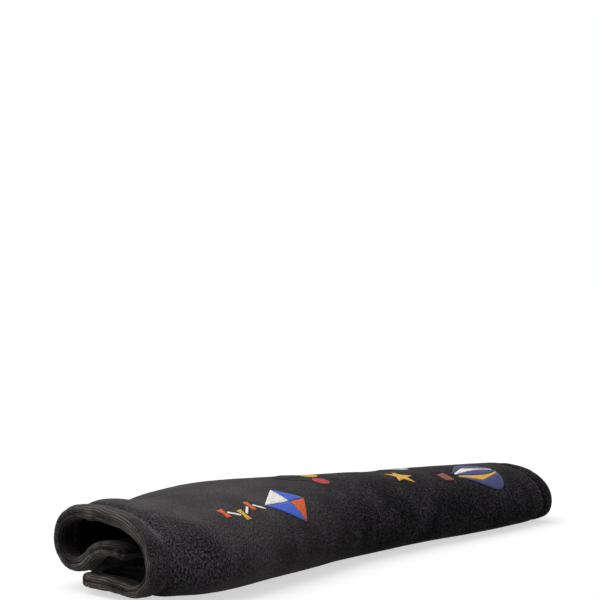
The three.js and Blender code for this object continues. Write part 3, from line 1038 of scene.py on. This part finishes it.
@dataclass(frozen=True)
class Film(Finish):
    """Heat-transfer film pressed into plush: flat matt colour, broken up by painted shade in the pile's
    furrows under it.

    The pile's furrows under the film are finer than a pixel, so their painted shade is drawn as coarse as a
    tuft.
    """

    name: str = "heat_transfer_film"
    roughness: float = 0.65
    specular: float = 0.3
    sheen: float = 0.1
    shade: Stop = (0.36, "cccccc")
    colour: Stop = (0.52, "ffffff")
    pile_mm: float = 0.9
    relief_mm: float = 0.25

    def pattern(self, tree: bpy.types.NodeTree) -> Inputs:
        """Builds the pile that shows through the film, in the flat panel's places.

        Args:
            tree: The material's tree.

        Returns:
            Colour and relief, by the shader's inputs.
        """
        flat = add_node(tree, "ShaderNodeUVMap", uv_map=PANEL_UV)
        in_mm = add_node(tree, "ShaderNodeVectorMath", {0: flat, "Scale": UV_SPAN_MM}, operation="SCALE")
        pile = add_node(tree, "ShaderNodeTexNoise",
                        {"Vector": in_mm, "Scale": 1 / self.pile_mm, "Detail": 2.0, "Roughness": 0.6})
        bump = add_node(tree, "ShaderNodeBump",
                        {"Height": pile, "Strength": 0.5, "Distance": self.relief_mm * MM})
        return {"Base Color": colour_steps(tree, pile, self.shade, self.colour), "Normal": bump}


class Ink(Enum):
    """Colours of the printed films: record slot, painted shade in the pile's furrows and colour."""

    NAVY = ("film_navy", "2c2f55", "3b3f70")
    WHITE = ("film_white", "b9b5ad", "e9e6df")
    MUSTARD = ("film_mustard", "a87d22", "d9a93a")
    BROWN = ("film_brown", "623220", "8a4b33")
    BLACK = ("film_black", "0c0b0c", "161516")
    RED = ("film_red", "86201c", "b5302a")
    MINT = ("film_mint", "7f9a8a", "a9c4b4")
    ORANGE = ("film_orange", "a54112", "d85a1e")
    BLUE = ("film_blue", "2a479c", "3a5fcb")

    def material(self) -> bpy.types.Material:
        """Finds the ink's material, or builds it the first time.

        Returns:
            The material.
        """
        slot, shade, colour = self.value
        stops = {"shade": (Film.shade[0], shade), "colour": (Film.colour[0], colour)}
        film = Film(name=f"heat_transfer_{slot}", **stops)
        return bpy.data.materials.get(film.name) or film.material()


def register(thing: bpy.types.Object, material: bpy.types.Material, slot: str, replaced: str) -> None:
    """Gives a piece its material and body, hides the node that it stands for, and logs its slot.

    Args:
        thing: The piece.
        material: Its material.
        slot: The record's material slot.
        replaced: Name of the node that it replaces.
    """
    thing.data.materials.clear()
    thing.data.materials.append(material)
    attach(thing, BODY)
    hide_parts(replaced)
    LOG.info("%s: %d faces, slot %s", thing.name, len(thing.data.polygons), slot)


# Fabric


@dataclass
class Sewn:
    """A piece that follows the rolled wall with its slack and dents."""

    wrap: Wrap
    form: SoftForm

    def place(self, u: Points, x: Points, height: Points) -> Points:
        """Finds places on the soft wall.

        Args:
            u: Places across the panel, in mm.
            x: Places along the pad, in mm.
            height: Heights over the wall's middle, positive on the outside.

        Returns:
            Rows of x, y, z in mm.
        """
        return self.wrap.roll(u, x, height + self.form.drift(u, x))


@dataclass
class FabricLayer(Sewn):
    """One fabric of the wall, a closed shell with a fine pile side and a plain hidden side."""

    name: str
    side: Side
    slot: str
    across_step: float
    along_step: float
    arc_step: float = 0.25
    row_step: float = 0.32
    row_reach: float = 2.0
    seam_step: float = 0.55
    hidden_step: float = 7.0
    corner_rows: int = 6
    ground_gap: float = 0.02

    def lines(self, total: float, step: float) -> Points:
        """Grid lines over one direction: fine round the edge roll and the hem groove, wider between.

        Args:
            total: Size of the panel that way, in mm.
            step: Spacing on the padded field, in mm.

        Returns:
            Distances from one edge, in mm.
        """
        s = self.wrap.sizes
        rounding = s.half_wall * (1 - np.cos(evenly(0.0, math.pi / 2, self.arc_step / s.half_wall)))
        seam_end = s.hem_width + 3 * s.groove_spread
        row_end = s.half_wall + self.row_reach
        rows = np.arange(s.half_wall + self.row_step, row_end, self.row_step)
        seam = np.arange(row_end, seam_end - self.seam_step / 2, self.seam_step)
        half_lines = np.concatenate([rounding, rows, seam, evenly(seam_end, total / 2, step)])
        return np.concatenate([half_lines, total - half_lines[-2::-1]])

    def build(self) -> bpy.types.Object:
        """Makes the layer's mesh.

        Returns:
            The finished object.
        """
        s, width, sign = self.wrap.sizes, self.wrap.width, self.side.value
        us = self.lines(width, self.across_step)
        xs = self.lines(s.length, self.along_step) - s.half_length
        x, u = np.meshgrid(xs, us, indexing="ij")
        height = sign * self.wrap.half_thickness(u, x)
        base = self.place(u, x, height)
        normals = grid_normals(base)
        outward = self.place(u, x, height + sign) - base
        normals *= np.sign(np.sum(normals * outward, axis=-1, keepdims=True) + TINY)
        outer = base + normals * self.form.relief(u, x, self.side)[..., None]
        outer[..., 2] = np.maximum(outer[..., 2], self.ground_gap)

        # The hidden side needs few points, but for lines where the panel's corners are rounded.
        corner = s.corner_radius * (1 - np.cos(np.linspace(0.0, math.pi / 2, self.corner_rows)))
        hidden_u = evenly(0.0, width, self.hidden_step)
        hidden_u = np.unique(np.concatenate([hidden_u, corner, width - corner]))
        hidden_x = evenly(-s.half_length, s.half_length, self.hidden_step)
        hx, hu = np.meshgrid(hidden_x, hidden_u, indexing="ij")
        inner = self.place(hu, hx, sign * s.seat / 2)

        rows, columns = x.shape
        hidden_rows, hidden_columns = hx.shape
        start = rows * columns
        fine = np.arange(start).reshape(rows, columns)
        plain = start + np.arange(hidden_rows * hidden_columns).reshape(hidden_rows, hidden_columns)
        faces = grid_faces(rows, columns, 0).tolist()
        faces += grid_faces(hidden_rows, hidden_columns, start)[:, ::-1].tolist()
        for edge, plain_edge, at, plain_at in (
            (fine[0], plain[0], us, hidden_u),
            (fine[-1], plain[-1], us, hidden_u),
            (fine[:, 0], plain[:, 0], xs, hidden_x),
            (fine[:, -1], plain[:, -1], xs, hidden_x),
        ):
            faces += zip_rows(edge.tolist(), at, plain_edge.tolist(), plain_at)
        points = np.concatenate([outer.reshape(-1, 3), inner.reshape(-1, 3)])
        thing = mesh_object(self.name, points, faces)
        all_u = np.concatenate([u.ravel(), hu.ravel()])
        all_x = np.concatenate([x.ravel(), hx.ravel()])
        point_attribute(thing, "hem", self.form.end_hem(all_u, all_x, self.side))
        point_attribute(thing, "ridge", self.form.ridge(all_u, all_x))
        panel_uv(thing, all_u, all_x)
        face_out(thing)
        return thing

    def dress(self, thing: bpy.types.Object, finish: Plush) -> None:
        register(thing, finish.material(), self.slot, self.name)


@dataclass
class FoamSheet(Sewn):
    """The padding between the two fabrics: one soft sheet that follows their slack and dents."""

    name: str = "foam_core"
    step: float = 3.5
    margin: float = 1.8

    def build(self) -> bpy.types.Object:
        """Makes the sheet.

        Returns:
            The sheet as a closed mesh.
        """
        s = self.wrap.sizes
        side_gap = s.seam_width + self.margin
        end_gap = s.hem_width + 2 * s.groove_spread + self.margin
        us = evenly(side_gap, self.wrap.width - side_gap, self.step)
        xs = evenly(end_gap - s.half_length, s.half_length - end_gap, self.step)
        x, u = np.meshgrid(xs, us, indexing="ij")
        half = self.wrap.half_thickness(u, x) - s.plush - s.seat
        sheets = [self.place(u, x, side.value * half) for side in Side]
        thing = mesh_object(self.name, *slab(sheets))
        face_out(thing)
        return thing


# Tape and threads


def size_tree(name: str, sizes: dict[str, float],
              seed: int | None = None) -> tuple[bpy.types.NodeTree, bpy.types.NodeOutputs]:
    """Starts a Geometry Nodes tree with a named input for each size.

    Args:
        name: Name of the tree.
        sizes: Sizes in mm, by the name of their input.
        seed: Seed of the tree's random numbers, if it draws any.

    Returns:
        The tree and the sockets of its inputs.
    """
    tree = bpy.data.node_groups.new(name, "GeometryNodeTree")
    add_socket = tree.interface.new_socket
    add_socket("Geometry", in_out="INPUT", socket_type="NodeSocketGeometry")
    for label, value in sizes.items():
        add_socket(label, in_out="INPUT", socket_type="NodeSocketFloat").default_value = value * MM
    if seed is not None:
        add_socket("Seed", in_out="INPUT", socket_type="NodeSocketInt").default_value = seed
    add_socket("Material", in_out="INPUT", socket_type="NodeSocketMaterial")
    add_socket("Geometry", in_out="OUTPUT", socket_type="NodeSocketGeometry")
    return tree, add_node(tree, "NodeGroupInput").outputs


def end_tree(tree: bpy.types.NodeTree, instances: bpy.types.Node, material: bpy.types.NodeSocket,
             base: bpy.types.NodeSocket | None = None) -> None:
    """Ends a Geometry Nodes tree with real, dressed mesh.

    Args:
        tree: The tree.
        instances: The node that gives the instances.
        material: The socket that gives the material.
        base: The mesh that the instances stand on, if it is kept.
    """
    whole = add_node(tree, "GeometryNodeRealizeInstances", {0: instances})
    if base is not None:
        whole = add_node(tree, "GeometryNodeJoinGeometry", {0: whole})
        feed(tree, whole, {0: base})
    dressed = add_node(tree, "GeometryNodeSetMaterial", {"Geometry": whole, "Material": material})
    add_node(tree, "NodeGroupOutput", {0: dressed})


def grow(thing: bpy.types.Object, tree: bpy.types.NodeTree, material: bpy.types.Material) -> bpy.types.Object:
    """Runs a Geometry Nodes tree on an object and keeps the result as its plain mesh.

    Args:
        thing: Object that the tree works on.
        tree: The node tree.
        material: The material that it sets.

    Returns:
        The same object with its new mesh and no modifier.
    """
    modifier = thing.modifiers.new(tree.name, "NODES")
    modifier.node_group = tree
    for item in tree.interface.items_tree:
        if item.item_type == "SOCKET" and item.in_out == "INPUT" and item.name == "Material":
            modifier[item.identifier] = material
    bpy.context.view_layer.update()
    graph = bpy.context.evaluated_depsgraph_get()
    mesh = bpy.data.meshes.new_from_object(thing.evaluated_get(graph))
    thing.modifiers.remove(modifier)
    thing.data = mesh
    shade_smooth(mesh)
    return thing


class Yarn(Enum):
    """Shape of one yarn on a tape, as the end of its bow: a hook hangs over, a loop goes back to the base."""

    HOOK = (0.45, 0.45)
    LOOP = (0.9, 0.0)


@dataclass
class TapeStrip(Sewn):
    """A strip of hook or loop tape, sewn flat on the wall, with its hooks or loops as small bent yarns."""

    name: str
    side: Side
    start_u: float
    yarn: Yarn
    base_share: float = 0.5
    pitch: float = 2.0
    yarn_height: float = 0.55
    yarn_radius: float = 0.09
    bow_steps: int = 5
    yarn_corners: int = 4
    seed: int = 5

    def band(self) -> bpy.types.Object:
        """Makes the strip's woven base, with the points marked that carry a yarn.

        Returns:
            The base as a closed band.
        """
        s = self.wrap.sizes
        us = evenly(self.start_u, self.start_u + s.strip_width, self.pitch)
        end = s.half_length - s.strip_end_gap
        x, u = np.meshgrid(evenly(-end, end, self.pitch), us, indexing="ij")
        low = s.half_wall + s.seat / 2
        levels = (low, low + self.base_share * s.strip_thickness)
        sheets = [self.place(u, x, self.side.value * level) for level in levels]
        thing = mesh_object(self.name, *slab(sheets))
        carries = np.zeros((2, *x.shape))
        carries[1, 1:-1, 1:-1] = 1.0
        point_attribute(thing, "carries_yarn", carries.ravel())
        face_out(thing)
        return thing

    def tree(self) -> bpy.types.NodeTree:
        """Builds the node tree that stands a yarn on every marked point.

        Returns:
            The tree, with inputs Height, Radius, Seed and Material.
        """
        sizes = {"Height": self.yarn_height, "Radius": self.yarn_radius}
        tree, given = size_tree(f"{self.name}_yarns", sizes, self.seed)
        node = partial(add_node, tree)
        reach, rise = self.yarn.value
        bow = node("GeometryNodeCurveQuadraticBezier",
                   {"Resolution": self.bow_steps, "Start": (0.0, 0.0, 0.0), "Middle": (reach / 2, 0.0, 2.0),
                    "End": (reach, 0.0, rise)})
        tall = node("ShaderNodeCombineXYZ", {axis: given["Height"] for axis in "XYZ"})
        sized = node("GeometryNodeTransform", {"Geometry": bow, "Scale": tall})
        ring = node("GeometryNodeCurvePrimitiveCircle",
                    {"Resolution": self.yarn_corners, "Radius": given["Radius"]})
        yarn = node("GeometryNodeCurveToMesh", {"Curve": sized, "Profile Curve": ring, "Fill Caps": True})
        marked = node("GeometryNodeInputNamedAttribute", {"Name": "carries_yarn"}, data_type="FLOAT")
        chosen = node("FunctionNodeCompare", {0: marked, 1: 0.5}, data_type="FLOAT", operation="GREATER_THAN")
        upright = node("FunctionNodeAlignRotationToVector", {"Vector": node("GeometryNodeInputNormal")},
                       axis="Z")
        turn = node("FunctionNodeRandomValue", {2: -math.pi, 3: math.pi, "Seed": given["Seed"]},
                    data_type="FLOAT")
        twist = node("FunctionNodeAxisAngleToRotation", {"Axis": (0.0, 0.0, 1.0), "Angle": turn.outputs[1]})
        rotation = node("FunctionNodeRotateRotation", {"Rotation": upright, "Rotate By": twist},
                        rotation_space="LOCAL")
        stood = node("GeometryNodeInstanceOnPoints",
                     {"Points": given["Geometry"], "Selection": chosen, "Instance": yarn,
                      "Rotation": rotation})
        end_tree(tree, stood, given["Material"], given["Geometry"])
        return tree

    def build(self, material: bpy.types.Material) -> bpy.types.Object:
        """Makes the strip with its yarns as one plain mesh in the tape's material."""
        return grow(self.band(), self.tree(), material)


@dataclass
class SeamStitches(Sewn):
    """A row of lockstitches in a hem groove, made by Geometry Nodes along the groove's line."""

    name: str
    x: float
    pitch: float = 3.0
    stitch: float = 2.1
    radius: float = 0.24
    sink: float = 0.2
    line_step: float = 0.8
    taper: float = 2.4
    sides: int = 8
    segments: int = 4

    def groove_line(self, side: Side) -> Points:
        """Follows the groove on one side of the wall.

        Args:
            side: Side of the wall.

        Returns:
            Places in mm.
        """
        s = self.wrap.sizes
        u = np.arange(s.seam_width, self.wrap.width - s.seam_width, self.line_step)
        x = np.full_like(u, self.x)
        return self.place(u, x, side.value * (self.wrap.half_thickness(u, x) + self.radius - self.sink))

    def tree(self) -> bpy.types.NodeTree:
        """Builds the node tree that lays stitches along a curve, each thinner towards its ends.

        Returns:
            The tree, with inputs Pitch, Stitch, Radius and Material.
        """
        sizes = {"Pitch": self.pitch, "Stitch": self.stitch, "Radius": self.radius}
        tree, given = size_tree(f"{self.name}_stitches", sizes)
        node = partial(add_node, tree)
        line = node("GeometryNodeMeshToCurve", {"Mesh": given["Geometry"]})
        spaced = node("GeometryNodeResampleCurve", {"Curve": line, "Length": given["Pitch"]}, mode="LENGTH")
        yarn = node("GeometryNodeMeshCylinder",
                    {"Vertices": self.sides, "Side Segments": self.segments, "Radius": given["Radius"],
                     "Depth": given["Stitch"]})
        place = node("GeometryNodeInputPosition")
        height = node("ShaderNodeSeparateXYZ", {0: place}).outputs["Z"]
        share = node("ShaderNodeMath", {0: height, 1: given["Stitch"]}, operation="DIVIDE")
        square = node("ShaderNodeMath", {0: share, 1: 2.0}, operation="POWER")
        thin = node("ShaderNodeMath", {0: square, 1: -self.taper, 2: 1.0}, operation="MULTIPLY_ADD")
        slim = node("ShaderNodeCombineXYZ", {"X": thin, "Y": thin, "Z": 1.0})
        shaped = node("ShaderNodeVectorMath", {0: place, 1: slim}, operation="MULTIPLY")
        rounded = node("GeometryNodeSetPosition", {"Geometry": yarn, "Position": shaped})
        turn = node("FunctionNodeAlignRotationToVector", {"Vector": node("GeometryNodeInputTangent")},
                    axis="Z")
        laid = node("GeometryNodeInstanceOnPoints", {"Points": spaced, "Instance": rounded, "Rotation": turn})
        end_tree(tree, laid, given["Material"])
        return tree

    def build(self, material: bpy.types.Material) -> bpy.types.Object:
        """Makes the stitches on both sides of the wall as one plain mesh.

        Args:
            material: The thread's material.

        Returns:
            The stitches.
        """
        lines = [self.groove_line(side) for side in Side]
        count = len(lines[0])
        edges = [(start + k, start + k + 1) for start in (0, count) for k in range(count - 1)]
        return grow(mesh_object(self.name, np.concatenate(lines), [], edges), self.tree(), material)


# Printed films


@dataclass
class FilmPress(Sewn):
    """Presses flat outlines on the cover as thin closed films that follow its surface."""

    thickness: float = 0.1
    lift: float = 0.14
    longest_edge: float = 1.5
    rounds: int = 8

    def fill(self, outline: Points) -> bmesh.types.BMesh:
        """Fills an outline with small triangles.

        Args:
            outline: Corners in mm, as along and across.

        Returns:
            The flat mesh.
        """
        work = bmesh.new()
        corners = [work.verts.new((float(a), float(b), 0.0)) for a, b in outline]
        work.faces.new(corners)
        bmesh.ops.triangulate(work, faces=work.faces)
        for _ in range(self.rounds):
            long_edges = [edge for edge in work.edges if edge.calc_length() > self.longest_edge]
            if not long_edges:
                break
            bmesh.ops.subdivide_edges(work, edges=long_edges, cuts=1)
            bmesh.ops.triangulate(work, faces=work.faces)
        return work

    def press(self, name: str, outline: Corners, ink: Ink, u: float, x: float) -> None:
        """Makes one film and registers it for its node.

        Args:
            name: Name of the node that it stands for.
            outline: Corners in mm, as along and across, round the motif's own origin.
            ink: Colour of the film.
            u: Panel place of that origin across, in mm.
            x: Panel place of that origin along, in mm.
        """
        work = self.fill(np.array(outline))
        spots = np.array([vertex.co[:] for vertex in work.verts])
        vertex_faces = [[vertex.index for vertex in face.verts] for face in work.faces]
        rim = [[edge.verts[0].index, edge.verts[1].index] for edge in work.edges if edge.is_boundary]
        work.free()
        along, across = x + spots[:, 0], u + spots[:, 1]
        base = self.wrap.half_thickness(across, along) + self.lift
        sheets = [self.place(across, along, base + extra) for extra in (0.0, self.thickness)]
        count = len(spots)
        faces = [[index + count for index in face] for face in vertex_faces]
        faces += [face[::-1] for face in vertex_faces]
        faces += [[a, b, b + count, a + count] for a, b in rim]
        thing = mesh_object(name, np.concatenate(sheets), faces)
        panel_uv(thing, np.tile(across, 2), np.tile(along, 2))
        face_out(thing)
        register(thing, ink.material(), ink.value[0], name)


@dataclass(frozen=True)
class Spot:
    """Place of a motif, from the pad's crown line and from its middle, in mm."""

    across: float
    along: float


Motif = Iterator[tuple[str, Corners, Ink]]


@dataclass
class Prints:
    """The printed shapes on the cover, in the places of their solids.

    Each motif gives its films as name, corners in mm as along and across from the motif's origin, and ink.
    """

    press: FilmPress
    hot_air_balloon_spot: Spot = Spot(-19.0, 72.0)
    star_spot: Spot = Spot(-14.0, 36.0)
    cloud_spot: Spot = Spot(6.0, 54.0)
    toy_balloons_spot: Spot = Spot(-1.0, -38.0)
    kite_spot: Spot = Spot(-22.0, -72.0)
    seat: float = 0.3
    line_width: float = 1.0
    envelope_radius: float = 13.5
    envelope_length: float = 31.0
    envelope_mouth: float = 0.24
    envelope_rows: int = 18
    envelope_closing: float = 0.96
    envelope_lift: float = 1.45
    envelope_fullness: float = 0.75
    basket_width: float = 8.0
    basket_height: float = 6.0
    basket_taper: float = 0.75
    rope_length: float = 6.0
    rope_place: float = 0.6
    star_points: int = 5
    star_radius: float = 8.0
    star_waist: float = 3.4
    cloud_radius: float = 5.0
    cloud_stretch: float = 1.6
    cloud_puff: float = 0.16
    cloud_puffs: int = 5
    cloud_corners: int = 48
    toy_radius: float = 4.0
    toy_corners: int = 32
    toy_spread: float = 2.5
    toy_string: float = 21.0
    toy_tie: float = 0.86
    toy_knot: tuple[float, float] = (2.0, 1.5)
    kite_width: float = 19.0
    kite_length: float = 27.0
    kite_spar: float = 0.62
    kite_tail: float = 24.0
    bow_count: int = 3
    bow_width: float = 5.0
    bow_swing: float = 0.3
    bow_gap: float = 0.35
    bow_waist: float = 0.35
    bow_wing: float = 0.6

    def bar(self, start: tuple[float, float], end: tuple[float, float]) -> Corners:
        """Draws a straight printed line.

        Args:
            start: One end, as along and across in mm.
            end: The other end.

        Returns:
            The line's corners.
        """
        a, b = np.array(start), np.array(end)
        way = (b - a) / np.linalg.norm(b - a) * self.line_width / 2
        side = np.array([-way[1], way[0]])
        return [tuple(a + side), tuple(a - side), tuple(b - side), tuple(b + side)]

    def envelope_half(self, share: float) -> float:
        """Measures the hot-air balloon's envelope: a teardrop, widest above its middle.

        Args:
            share: Share of the way from its mouth to its crown.

        Returns:
            Half of its width, in mm.
        """
        bulge = math.sin(math.pi * share**self.envelope_lift) ** self.envelope_fullness
        mouth = self.envelope_mouth
        return self.envelope_radius * (mouth * (1 - share) + (1 - mouth / 3) * bulge)

    def gore(self, inner: float, outer: float) -> Corners:
        """Draws one gore of the envelope.

        Args:
            inner: Its one side, as a share of the envelope's half width.
            outer: Its other side.

        Returns:
            The gore's corners.
        """
        left, right = [], []
        for k in range(self.envelope_rows + 1):
            share = k / self.envelope_rows
            half = self.envelope_half(share * self.envelope_closing)
            along = self.envelope_length * share
            left.append((along, inner * half + self.seat / 2))
            right.append((along, outer * half - self.seat / 2))
        return left + right[::-1]

    def hot_air_balloon(self) -> Motif:
        """Draws the hot-air balloon.

        Returns:
            Its gores, basket and ropes.
        """
        inks = (Ink.NAVY, Ink.MUSTARD, Ink.NAVY, Ink.WHITE, Ink.NAVY)
        for k, ink in enumerate(inks):
            outline = self.gore(-1 + 2 * k / len(inks), -1 + 2 * (k + 1) / len(inks))
            yield f"balloon_gore_{k + 1}", outline, ink
        top, half = -self.rope_length, self.basket_width / 2
        low, foot = top - self.basket_height, self.basket_taper * half
        yield "balloon_basket", [(top, -half), (top, half), (low, foot), (low, -foot)], Ink.BROWN
        for name, side in (("left", -1), ("right", 1)):
            across = side * self.rope_place * half
            rope = self.bar((top + self.seat, across), (-self.seat, across))
            yield f"balloon_rope_{name}", rope, Ink.BLACK

    def star(self) -> Motif:
        """Draws the star.

        Returns:
            Its one film.
        """
        outline = []
        for k in range(2 * self.star_points):
            radius = self.star_radius if k % 2 == 0 else self.star_waist
            angle = math.pi * k / self.star_points
            outline.append((radius * math.cos(angle), radius * math.sin(angle)))
        yield "star", outline, Ink.MUSTARD

    def cloud(self) -> Motif:
        """Draws the cloud, a long ring of puffs.

        Returns:
            Its one film.
        """
        outline = []
        for k in range(self.cloud_corners):
            angle = 2 * math.pi * k / self.cloud_corners
            puff = self.cloud_radius * (1 + self.cloud_puff * abs(math.sin(self.cloud_puffs / 2 * angle)))
            outline.append((puff * math.cos(angle), self.cloud_stretch * puff * math.sin(angle)))
        yield "cloud", outline, Ink.MINT

    def toy_balloons(self) -> Motif:
        """Draws the three toy balloons and their strings, which come together at a knot.

        Returns:
            Each balloon with its string.
        """
        radius = self.toy_radius
        turns = [2 * math.pi * n / self.toy_corners for n in range(self.toy_corners)]
        for place, ink in ((-1, Ink.RED), (0, Ink.MUSTARD), (1, Ink.MINT)):
            colour = ink.name.lower()
            across = place * self.toy_spread * radius
            along = self.toy_string + (0 if place else radius)
            outline = [(along + radius * math.cos(a), across + radius * math.sin(a)) for a in turns]
            yield f"toy_balloon_{colour}", outline, ink
            knot = (abs(place) * self.toy_knot[0], place * self.toy_knot[1])
            tie = (along - radius - self.seat, across * self.toy_tie)
            yield f"toy_string_{colour}", self.bar(knot, tie), Ink.BLACK

    def kite(self) -> Motif:
        """Draws the kite.

        Returns:
            Its four sails, and each length of its tail with its bow.
        """
        spar, half, gap = self.kite_spar * self.kite_length, self.kite_width / 2, self.seat / 2
        sails = ((1, 1, Ink.BLUE), (1, -1, Ink.ORANGE), (-1, 1, Ink.WHITE), (-1, -1, Ink.BLUE))
        for k, (way, side, ink) in enumerate(sails):
            base, tip = spar + way * gap, self.kite_length if way > 0 else 0.0
            yield f"kite_sail_{k + 1}", [(base, side * gap), (tip, side * gap), (base, side * half)], ink
        near, wide = self.bow_width * self.bow_gap, self.bow_width / 2
        waist, wing = self.bow_waist * wide, self.bow_wing * wide
        for k in range(self.bow_count):
            start, end = (-self.kite_tail * n / self.bow_count for n in (k, k + 1))
            swing = (1 if k % 2 == 0 else -1) * self.bow_width * self.bow_swing
            yield f"kite_tail_{k + 1}", self.bar((start - near, -swing), (end + near, swing)), Ink.WHITE
            bow = [(end + waist, swing), (end + wing, swing + wide), (end - wing, swing + wide),
                   (end - waist, swing), (end - wing, swing - wide), (end + wing, swing - wide)]
            yield f"kite_bow_{k + 1}", bow, Ink.ORANGE if k % 2 == 0 else Ink.MUSTARD

    def build(self) -> None:
        """Presses every motif on the cover, in its place from the crown line."""
        crown = self.press.wrap.width / 2
        for motif, spot in (
            (self.hot_air_balloon, self.hot_air_balloon_spot),
            (self.star, self.star_spot),
            (self.cloud, self.cloud_spot),
            (self.toy_balloons, self.toy_balloons_spot),
            (self.kite, self.kite_spot),
        ):
            for name, outline, ink in motif():
                self.press.press(name, outline, ink, crown + spot.across, spot.along)


# Studio


@dataclass(frozen=True)
class Softbox:
    """A wide, soft light of even strength.

    Args:
        name: Name of the lamp.
        towards: Direction from the pad to the light.
        strength: Strength of the light.
        spread: Angle that the light fills, in degrees.
    """

    name: str
    towards: tuple[float, float, float]
    strength: float
    spread: float

    def build(self) -> None:
        """Hangs the lamp."""
        data = bpy.data.lights.new(self.name, "SUN")
        data.energy = self.strength
        data.angle = math.radians(self.spread)
        thing = bpy.data.objects.new(self.name, data)
        thing.rotation_mode = "QUATERNION"
        thing.rotation_quaternion = (-Vector(self.towards)).to_track_quat("-Z", "Y")
        bpy.context.scene.collection.objects.link(thing)


@dataclass
class Studio:
    """Plain white studio: camera at the photograph's angle, pale floor and soft lamps."""

    wrap: Wrap
    picture_px: float = 600.0
    sensor_mm: float = 36.0
    focal_px: float = 1475.4
    camera_height: float = 115.6
    camera_distance: float = 661.7
    camera_side: float = 13.87
    heading: float = 0.7985
    pitch: float = 0.0046
    tilt: float = -0.0075
    clip: tuple[float, float] = (0.01, 100.0)
    floor_seen: str = "fafafa"
    floor_bounce: str = "a8a8a8"
    floor_glow: float = 0.6
    floor_reach: float = 30000.0
    room_light: float = 0.42
    lamps: tuple[Softbox, ...] = (
        Softbox("overhead_softbox", (-0.35, 0.3, 1.0), 2.3, 70.0),
        Softbox("left_softbox", (-0.8, -0.2, 0.8), 0.5, 50.0),
    )

    def camera(self) -> None:
        """Places the camera."""
        data = bpy.data.cameras.new("camera")
        data.sensor_width = self.sensor_mm
        data.lens = self.focal_px / self.picture_px * self.sensor_mm
        data.clip_start, data.clip_end = self.clip
        thing = bpy.data.objects.new("camera", data)
        cos, sin = math.cos(self.heading), math.sin(self.heading)
        x = -self.camera_side * cos - self.camera_distance * sin
        y = self.camera_side * sin - self.camera_distance * cos + self.wrap.shift
        thing.location = Vector((x, y, self.camera_height)) * MM
        forward = Vector((sin * math.cos(self.pitch), cos * math.cos(self.pitch), -math.sin(self.pitch)))
        thing.rotation_mode = "QUATERNION"
        level = forward.to_track_quat("-Z", "Y")
        thing.rotation_quaternion = level @ Quaternion((0.0, 0.0, 1.0), self.tilt)
        bpy.context.scene.collection.objects.link(thing)
        bpy.context.scene.camera = thing

    def floor(self) -> None:
        """Lays the pale floor, which keeps the pad's shadow and shows white round it."""
        corners = np.array([(a, b, 0.0) for a, b in ((-1, -1), (1, -1), (1, 1), (-1, 1))]) * self.floor_reach
        thing = mesh_object("floor", corners, [[0, 1, 2, 3]])
        material = bpy.data.materials.new("white_painted_studio_floor")
        material.use_nodes = True
        tree = material.node_tree
        node = partial(add_node, tree)
        seen = node("ShaderNodeLightPath").outputs["Is Camera Ray"]
        paint = node("ShaderNodeMix", {0: seen, 6: linear(self.floor_bounce), 7: linear(self.floor_seen)},
                     data_type="RGBA")
        shader = tree.nodes["Principled BSDF"]
        feed(tree, shader, {"Base Color": paint.outputs[2], "Roughness": 1.0, "Specular IOR Level": 0.0})
        share = node("ShaderNodeMath", {0: seen, 1: self.floor_glow}, operation="MULTIPLY")
        glow = node("ShaderNodeEmission", {"Strength": 1.0})
        mix = node("ShaderNodeMixShader", {0: share, 1: shader, 2: glow})
        feed(tree, tree.nodes["Material Output"], {"Surface": mix})
        thing.data.materials.append(material)

    def world(self) -> None:
        """Surrounds the set with soft white light, and shows white to the camera."""
        world = bpy.data.worlds.new("studio")
        world.use_nodes = True
        tree = world.node_tree
        seen = add_node(tree, "ShaderNodeLightPath").outputs["Is Camera Ray"]
        light = add_node(tree, "ShaderNodeMath", {0: seen, 1: 1.0 - self.room_light, 2: self.room_light},
                         operation="MULTIPLY_ADD")
        feed(tree, tree.nodes["Background"], {"Color": (1.0, 1.0, 1.0, 1.0), "Strength": light})
        bpy.context.scene.world = world

    def build(self) -> None:
        """Sets the studio up."""
        self.camera()
        self.floor()
        self.world()
        for lamp in self.lamps:
            lamp.build()
        bpy.context.scene.view_settings.view_transform = "Standard"


def main() -> None:
    """Builds the pad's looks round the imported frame."""
    logging.basicConfig(level=logging.INFO, format="%(name)s: %(message)s")
    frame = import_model()
    LOG.info("frame: %d nodes", len(frame["nodes"]))
    sizes = WrapSizes()
    wrap = Wrap(sizes)
    form = SoftForm(wrap)
    Studio(wrap).build()

    plush = Plush()
    cover = FabricLayer(wrap, form, "outer_cover", Side.OUTSIDE, "plush_cover", 0.9, 1.1)
    cover.dress(cover.build(), plush)
    lining = FabricLayer(wrap, form, "inner_lining", Side.INSIDE, "plush_lining", 1.6, 2.0)
    lining.dress(lining.build(), LINING)

    tape = Tape().material()
    loops_at = sizes.strip_edge_gap
    hooks_at = wrap.width - sizes.strip_edge_gap - sizes.strip_width
    for name, side, start, yarn in (
        ("loop_strip", Side.INSIDE, loops_at, Yarn.LOOP),
        ("hook_strip", Side.OUTSIDE, hooks_at, Yarn.HOOK),
    ):
        strip = TapeStrip(wrap, form, name, side, start, yarn)
        register(strip.build(tape), tape, "fastener", name)

    thread = SewingThread().material()
    seam_x = sizes.half_length - sizes.hem_width
    for name, x in (("near_end_seam_thread", -seam_x), ("far_end_seam_thread", seam_x)):
        stitches = SeamStitches(wrap, form, name, x)
        register(stitches.build(thread), thread, "thread", name)

    sheet = FoamSheet(wrap, form)
    foam = sheet.build()
    register(foam, Foam().material(), "foam", sheet.name)

    Prints(FilmPress(wrap, form)).build()


if __name__ == "__main__":
    main()
